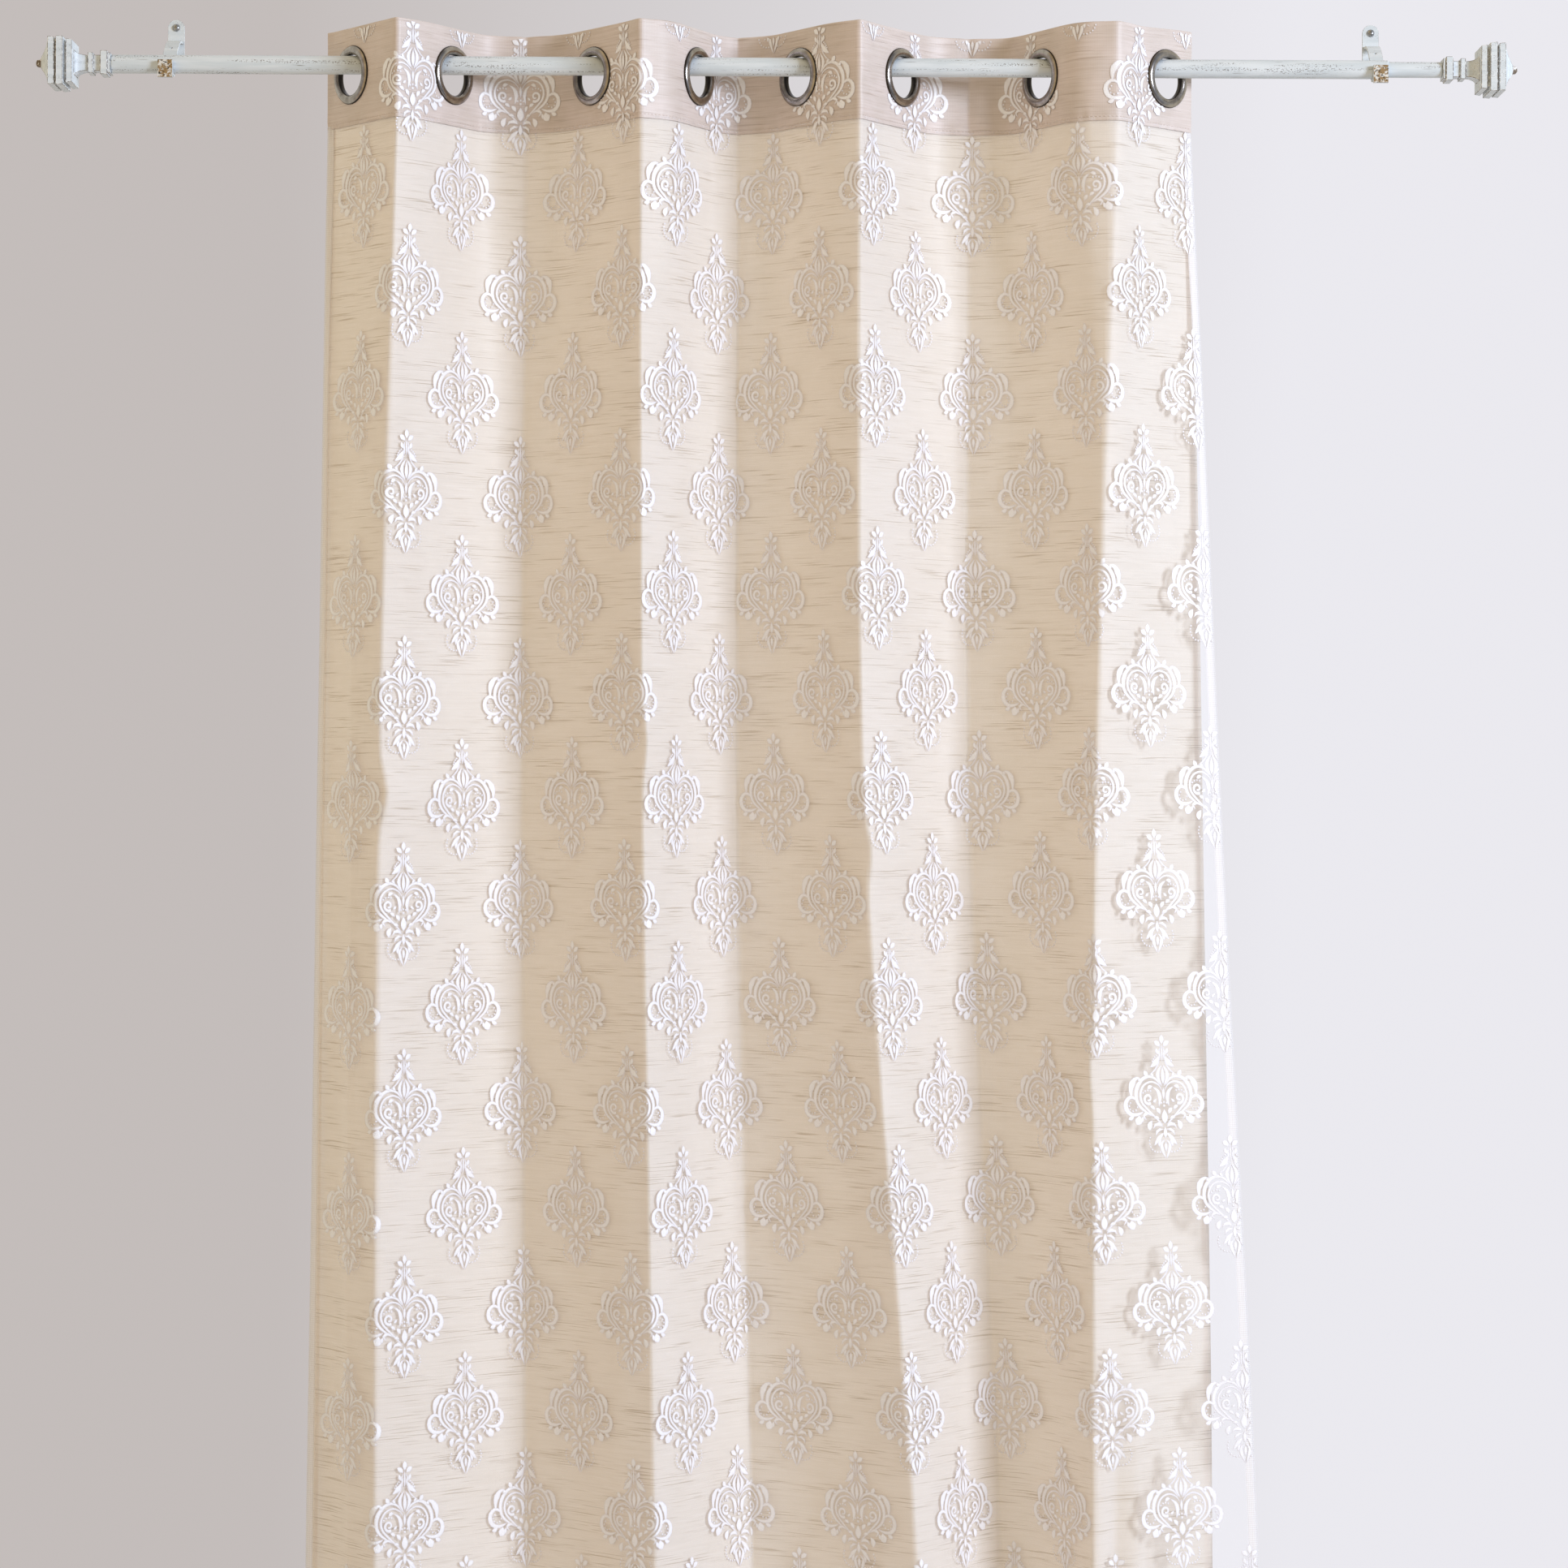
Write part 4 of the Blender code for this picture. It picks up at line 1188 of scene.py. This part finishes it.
def rod_tube(name, node, radius, start, end, material):
    """A drawn tube with its ends rolled a little inwards."""
    inside = radius - TUBE_WALL
    roll = 0.0005
    outline = []
    for height, way in ((end, -1), (start, 1)):
        ring = [(inside, 0), (radius - roll, 0), (radius, roll), (radius, 4 * roll)]
        points = [(r, height + way * up) for r, up in ring]
        outline += points if way == -1 else points[::-1]
    tube = turned(name, outline, 64, True, material, "rod_paint")
    tube.data.transform(along_rod(0.0))
    tube.data.set_sharp_from_angle(angle=math.radians(50))
    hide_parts(node)


def finial(name, node, tube_end, pointing, materials):
    """Square finial cast in one, its arrises softened by the enamel."""
    outline = [(half * math.sqrt(2), along) for along, half in FINIAL_PROFILE]
    outline = [(0.0, 0.0), *outline, (0.0, FINIAL_PROFILE[-1][0])]
    piece = turned(name, outline, 4, False, materials[0], "rod_paint")
    piece.data.materials.append(materials[1])
    # The tip takes the piece's second, darker material.
    for face in piece.data.polygons:
        face.material_index = int(face.center.z > TIP_START)
    base = along_rod(tube_end + pointing * GAP, pointing)
    piece.data.transform(base @ Matrix.Rotation(math.radians(45), 4, "Z"))
    soften(piece, 0.0004, 1)
    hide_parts(node)


def soften(piece, width, edge_material):
    """Rounds the arrises. Their faces take the piece's second material where edge_material is 1."""
    bevel = piece.modifiers.new("Arris", "BEVEL")
    bevel.width = width
    bevel.segments = 2
    bevel.limit_method = "ANGLE"
    bevel.angle_limit = math.radians(35)
    bevel.material = edge_material
    bevel.harden_normals = True
    piece.data.set_sharp_from_angle(angle=math.radians(30))


def solid_strip(route, width, thick):
    """A strip of sheet metal bent along a route of (y, z) points, as points and faces."""
    route = np.array(route)
    along = np.gradient(route, axis=0)
    along /= np.linalg.norm(along, axis=1)[:, None]
    out = np.stack((-along[:, 1], along[:, 0]), 1) * thick / 2
    points, faces = [], []
    for place, shift in zip(route, out):
        for side, way in ((-1, -1), (1, -1), (1, 1), (-1, 1)):
            y, z = place + way * shift
            points.append((side * width / 2, y, z))
    for k in range(len(route) - 1):
        for m in range(4):
            a, b = 4 * k + m, 4 * k + (m + 1) % 4
            faces.append((a, b, b + 4, a + 4))
    faces.append((3, 2, 1, 0))
    last = 4 * (len(route) - 1)
    faces.append((last, last + 1, last + 2, last + 3))
    return points, faces


def helper_piece(name, points, faces, matrix):
    """A closed shape in its place, to be joined to another or cut from it."""
    mesh = bpy.data.meshes.new(name)
    mesh.from_pydata(points, [], faces)
    tidy = bmesh.new()
    tidy.from_mesh(mesh)
    bmesh.ops.recalc_face_normals(tidy, faces=tidy.faces)
    tidy.to_mesh(mesh)
    tidy.free()
    mesh.transform(matrix)
    return new_object(name, mesh)


def box_points(width, depth, height):
    """Points and faces of a box about its middle."""
    signs = [(x, y, z) for x in (-1, 1) for y in (-1, 1) for z in (-1, 1)]
    points = [(x * width / 2, y * depth / 2, z * height / 2) for x, y, z in signs]
    faces = [(0, 1, 3, 2), (4, 6, 7, 5), (0, 4, 5, 1), (2, 3, 7, 6), (0, 2, 6, 4), (1, 5, 7, 3)]
    return points, faces


def cylinder_points(radius, length, sides):
    """Points and faces of a cylinder along Z about its middle."""
    ring = [2 * math.pi * k / sides for k in range(sides)]
    levels = (-length / 2, length / 2)
    points = [(radius * math.cos(a), radius * math.sin(a), z) for z in levels for a in ring]
    faces = [(k, (k + 1) % sides, sides + (k + 1) % sides, sides + k) for k in range(sides)]
    faces.append(tuple(range(sides - 1, -1, -1)))
    faces.append(tuple(range(sides, 2 * sides)))
    return points, faces


def join_shapes(base, steps):
    """Adds or cuts away helper pieces for good, and removes them."""
    for operation, other in steps:
        change = base.modifiers.new(other.name, "BOOLEAN")
        change.operation = operation
        change.solver = "EXACT"
        change.object = other
    bpy.context.view_layer.update()
    made = bpy.data.meshes.new_from_object(base.evaluated_get(bpy.context.evaluated_depsgraph_get()))
    made.name = base.name
    base.modifiers.clear()
    base.data = made
    for _, other in steps:
        bpy.data.objects.remove(other, do_unlink=True)


def bracket(name, node, x, materials):
    """Wall plate, bent strap with its cradle, and square boss, welded into one."""
    radius = PLATE_WIDTH / 2
    rise = PLATE_HEIGHT / 2 - radius
    rim = []
    for centre, start in ((rise, 0), (-rise, 180)):
        for k in range(13):
            angle = math.radians(start + 15 * k)
            rim.append((radius * math.cos(angle), centre + radius * math.sin(angle)))
    count = len(rim)
    points = [(px, -depth, pz) for depth in (0.0, PLATE_THICK) for px, pz in rim]
    faces = [(k, (k + 1) % count, count + (k + 1) % count, count + k) for k in range(count)]
    faces += [tuple(range(count - 1, -1, -1)), tuple(range(count, 2 * count))]
    here = Matrix.Translation((x, 0, 0))
    plate = helper_piece(name, points, faces, here)
    route = [tuple(p) for p in path_through([np.array(p) for p in STRAP_ROUTE], 0.004)]
    for k in range(1, 21):
        angle = math.radians(-180 * k / 20)
        route.append((CRADLE_RADIUS * math.cos(angle), CRADLE_RADIUS * math.sin(angle)))
    route.append((-CRADLE_RADIUS, CRADLE_LIP))
    at_rod = Matrix.Translation((x, -ROD_OUT, -ROD_DROP))
    strap = helper_piece(f"{name}_strap", *solid_strip(route, STRAP_WIDTH, STRAP_THICK), at_rod)
    front = CRADLE_RADIUS + STRAP_THICK / 2 + BOSS_THICK / 2 - BOSS_SUNK
    boss_at = Matrix.Translation((0, -front, BOSS_RAISE - BOSS_HEIGHT / 2))
    size = (STRAP_WIDTH + BOSS_EXTRA, BOSS_THICK, BOSS_HEIGHT)
    boss = helper_piece(f"{name}_boss", *box_points(*size), at_rod @ boss_at)
    upright = Matrix.Rotation(math.radians(90), 4, "X")
    screw_at = here @ Matrix.Translation((0, 0, SCREW_ABOVE)) @ upright
    hole = helper_piece(
        f"{name}_hole", *cylinder_points(SCREW_SHANK + GAP, 4 * PLATE_THICK, 32), screw_at
    )
    upper, lower = (Vector((0.0, *STRAP_ROUTE[k])) for k in (2, 3))
    middle, run = (upper + lower) / 2, upper - lower
    slant = Matrix.Translation(middle) @ Matrix.Rotation(math.atan2(run.z, run.y), 4, "X")
    strap_hole = helper_piece(
        f"{name}_strap_hole", *cylinder_points(STRAP_HOLE, 4 * PLATE_THICK, 24), at_rod @ slant
    )
    join_shapes(
        plate,
        [("UNION", strap), ("UNION", boss), ("DIFFERENCE", hole), ("DIFFERENCE", strap_hole)],
    )
    for material in materials:
        plate.data.materials.append(material)
    for face in plate.data.polygons:
        face.use_smooth = True
        if face.normal.y < -0.9 and face.center.y < -ROD_OUT - front:
            face.material_index = 2
    soften(plate, 0.0005, 1)
    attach(plate, "root")
    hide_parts(node)


def screw(name, node, x, material):
    """Domed screw with a cross recess."""
    top = PLATE_THICK + GAP
    outline = [
        # radius, height from the wall
        (0.0, top + 0.0024),
        (0.0010, top + 0.00235),
        (0.0020, top + 0.0020),
        (0.0029, top + 0.0014),
        (0.0035, top + 0.0007),
        (SCREW_HEAD, top),
        (SCREW_SHANK, top),
        (SCREW_SHANK, GAP),
        (0.0, GAP),
    ]
    piece = turned(name, outline, 40, False, material, "screw_metal")
    upright = Matrix.Rotation(math.radians(90), 4, "X")
    place = Matrix.Translation((x, 0, SCREW_ABOVE)) @ upright
    piece.data.transform(place)
    cuts = []
    for k, size in enumerate(((0.0034, 0.0009, 0.0030), (0.0009, 0.0034, 0.0030))):
        at = place @ Matrix.Translation((0, 0, top + 0.0027))
        cuts.append(("DIFFERENCE", helper_piece(f"{name}_cut_{k}", *box_points(*size), at)))
    join_shapes(piece, cuts)
    piece.data.set_sharp_from_angle(angle=math.radians(40))
    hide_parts(node)


def area_light(name, place, target, size, power, colour):
    """A square lamp that faces its target."""
    data = bpy.data.lights.new(name, "AREA")
    data.shape = "SQUARE"
    data.size = size
    data.energy = power
    data.color = colour
    lamp = new_object(name, data)
    lamp.location = place
    lamp.rotation_euler = (Vector(target) - Vector(place)).to_track_quat("-Z", "Y").to_euler()


def pale_world(scene):
    """Soft light all round: cool and bright from the right, warm and dim from the left."""
    world = bpy.data.worlds.new("pale_studio")
    scene.world = world
    world.use_nodes = True
    tree = world.node_tree
    toward = add_node(tree, "ShaderNodeTexCoord").outputs["Generated"]
    parts = add_node(tree, "ShaderNodeSeparateXYZ", {"Vector": toward})

    def along(axis, start, end):
        inputs = {"Value": parts.outputs[axis], "From Min": start, "From Max": end}
        return add_node(tree, "ShaderNodeMapRange", inputs).outputs["Result"]

    sides = []
    for stops in (ROOM_LIGHT, WALL_LIGHT):
        first, last = stops[0][0], stops[-1][0]
        ramp = add_node(tree, "ShaderNodeValToRGB", {"Fac": along("X", first, last)})
        elements = ramp.color_ramp.elements
        while len(elements) < len(stops):
            elements.new(0.5)
        for element, (direction, code) in zip(elements, stops):
            element.position = (direction - first) / (last - first)
            element.color = linear(code)
        sides.append(ramp.outputs["Color"])
    inputs = {0: along("Y", -0.15, 0.15), 6: sides[0], 7: sides[1]}
    both = add_node(tree, "ShaderNodeMix", inputs, data_type="RGBA")
    back = tree.nodes["Background"]
    back.inputs["Strength"].default_value = WORLD_STRENGTH
    tree.links.new(both.outputs[2], back.inputs["Color"])


def studio():
    """Plain pale floor, soft light from the right and a camera level with the curtain."""
    scene = bpy.context.scene
    scene.view_settings.view_transform = "Standard"
    pale_world(scene)
    area_light("key_right", KEY_AT, KEY_TARGET, KEY_SIZE, KEY_POWER, KEY_COLOUR)
    mesh = bpy.data.meshes.new("floor")
    ring = np.linspace(0, 2 * math.pi, 96, endpoint=False)
    over = np.column_stack((np.cos(ring), np.sin(ring))) * FLOOR_RADIUS
    points = [(MIDDLE_X + x, y, FLOOR_Z) for x, y in over]
    mesh.from_pydata(points, [], [tuple(range(len(points)))])
    floor = new_object("floor", mesh)
    material, _, shader = new_material("pale_floor", Roughness=0.8)
    shader.inputs["Base Color"].default_value = linear("CFCDCF")
    mesh.materials.append(material)
    data = bpy.data.cameras.new("camera")
    data.sensor_width = 36
    data.lens = CAMERA_LENS
    camera = new_object("camera", data)
    camera.location = CAMERA_AT
    camera.rotation_euler = (math.radians(90), 0, 0)
    camera.rotation_euler.rotate_axis("Z", math.radians(CAMERA_ROLL))
    scene.camera = camera


def hang_cloths():
    """The lining, the heading and the sheer with its motifs and stitches, each as a hung sheet."""
    lining_cloth, *_ = hanging_cloth(
        "lining_cloth",
        LINING_FOLDS,
        FULL_DROP - LINING_SHORTER,
        -SEAM_OFFSET,
        LINING_WAVES,
        [lining_polyester()],
        "lining_cream",
        None,
    )
    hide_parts("lining")
    band, *heading_surface = heading_band(heading_polyester())
    sheer_cloth, *sheer_surface = hanging_cloth(
        "sheer_cloth",
        SHEER_FOLDS,
        FULL_DROP,
        SEAM_OFFSET,
        SHEER_WAVES,
        [sheer_voile("polyester_voile", 0.22, "EDEAF2")],
        "sheer_white",
        sheer_voile("polyester_voile_hem", 0.62, "EDE6E6"),
    )
    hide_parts("sheer")
    pile = motif_pile()
    surfaces = (heading_surface, sheer_surface)
    middle = MOTIF_FIRST[1] + MOTIF_SPLIT * MOTIF_REPEAT
    upper = motifs("motifs_upper", -math.inf, middle, surfaces, pile)
    lower = motifs("motifs_lower", middle, math.inf, surfaces, pile)
    stitches = seam_stitches(heading_surface, band.data.materials[0])


def fit_rod():
    """The telescopic rod with its finials, brackets and screws."""
    tube_enamel = white_enamel("crazed_white_enamel", 1.0)
    rod_tube("rod_tube_outer", "rod_outer", OUTER_RADIUS, OUTER_START, OUTER_END, tube_enamel)
    rod_tube("rod_tube_inner", "rod_inner", INNER_RADIUS, INNER_START, INNER_END, tube_enamel)
    enamel, edge, boss = white_enamel("white_enamel", 0.4), worn_edge(), worn_boss()
    finial("finial_cast_left", "finial_left", OUTER_START, -1, (enamel, edge))
    finial("finial_cast_right", "finial_right", INNER_END, 1, (enamel, edge))
    zinc = zinc_screw()
    for side, x in (("left", 0.0), ("right", BRACKET_SPAN)):
        bracket(f"bracket_welded_{side}", f"bracket_{side}", x, (enamel, edge, boss))
        screw(f"wall_screw_{side}", f"screw_{side}", x, zinc)


def main():
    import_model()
    studio()
    hang_cloths()
    eyelet_rims(brushed_nickel())
    fit_rod()


main()
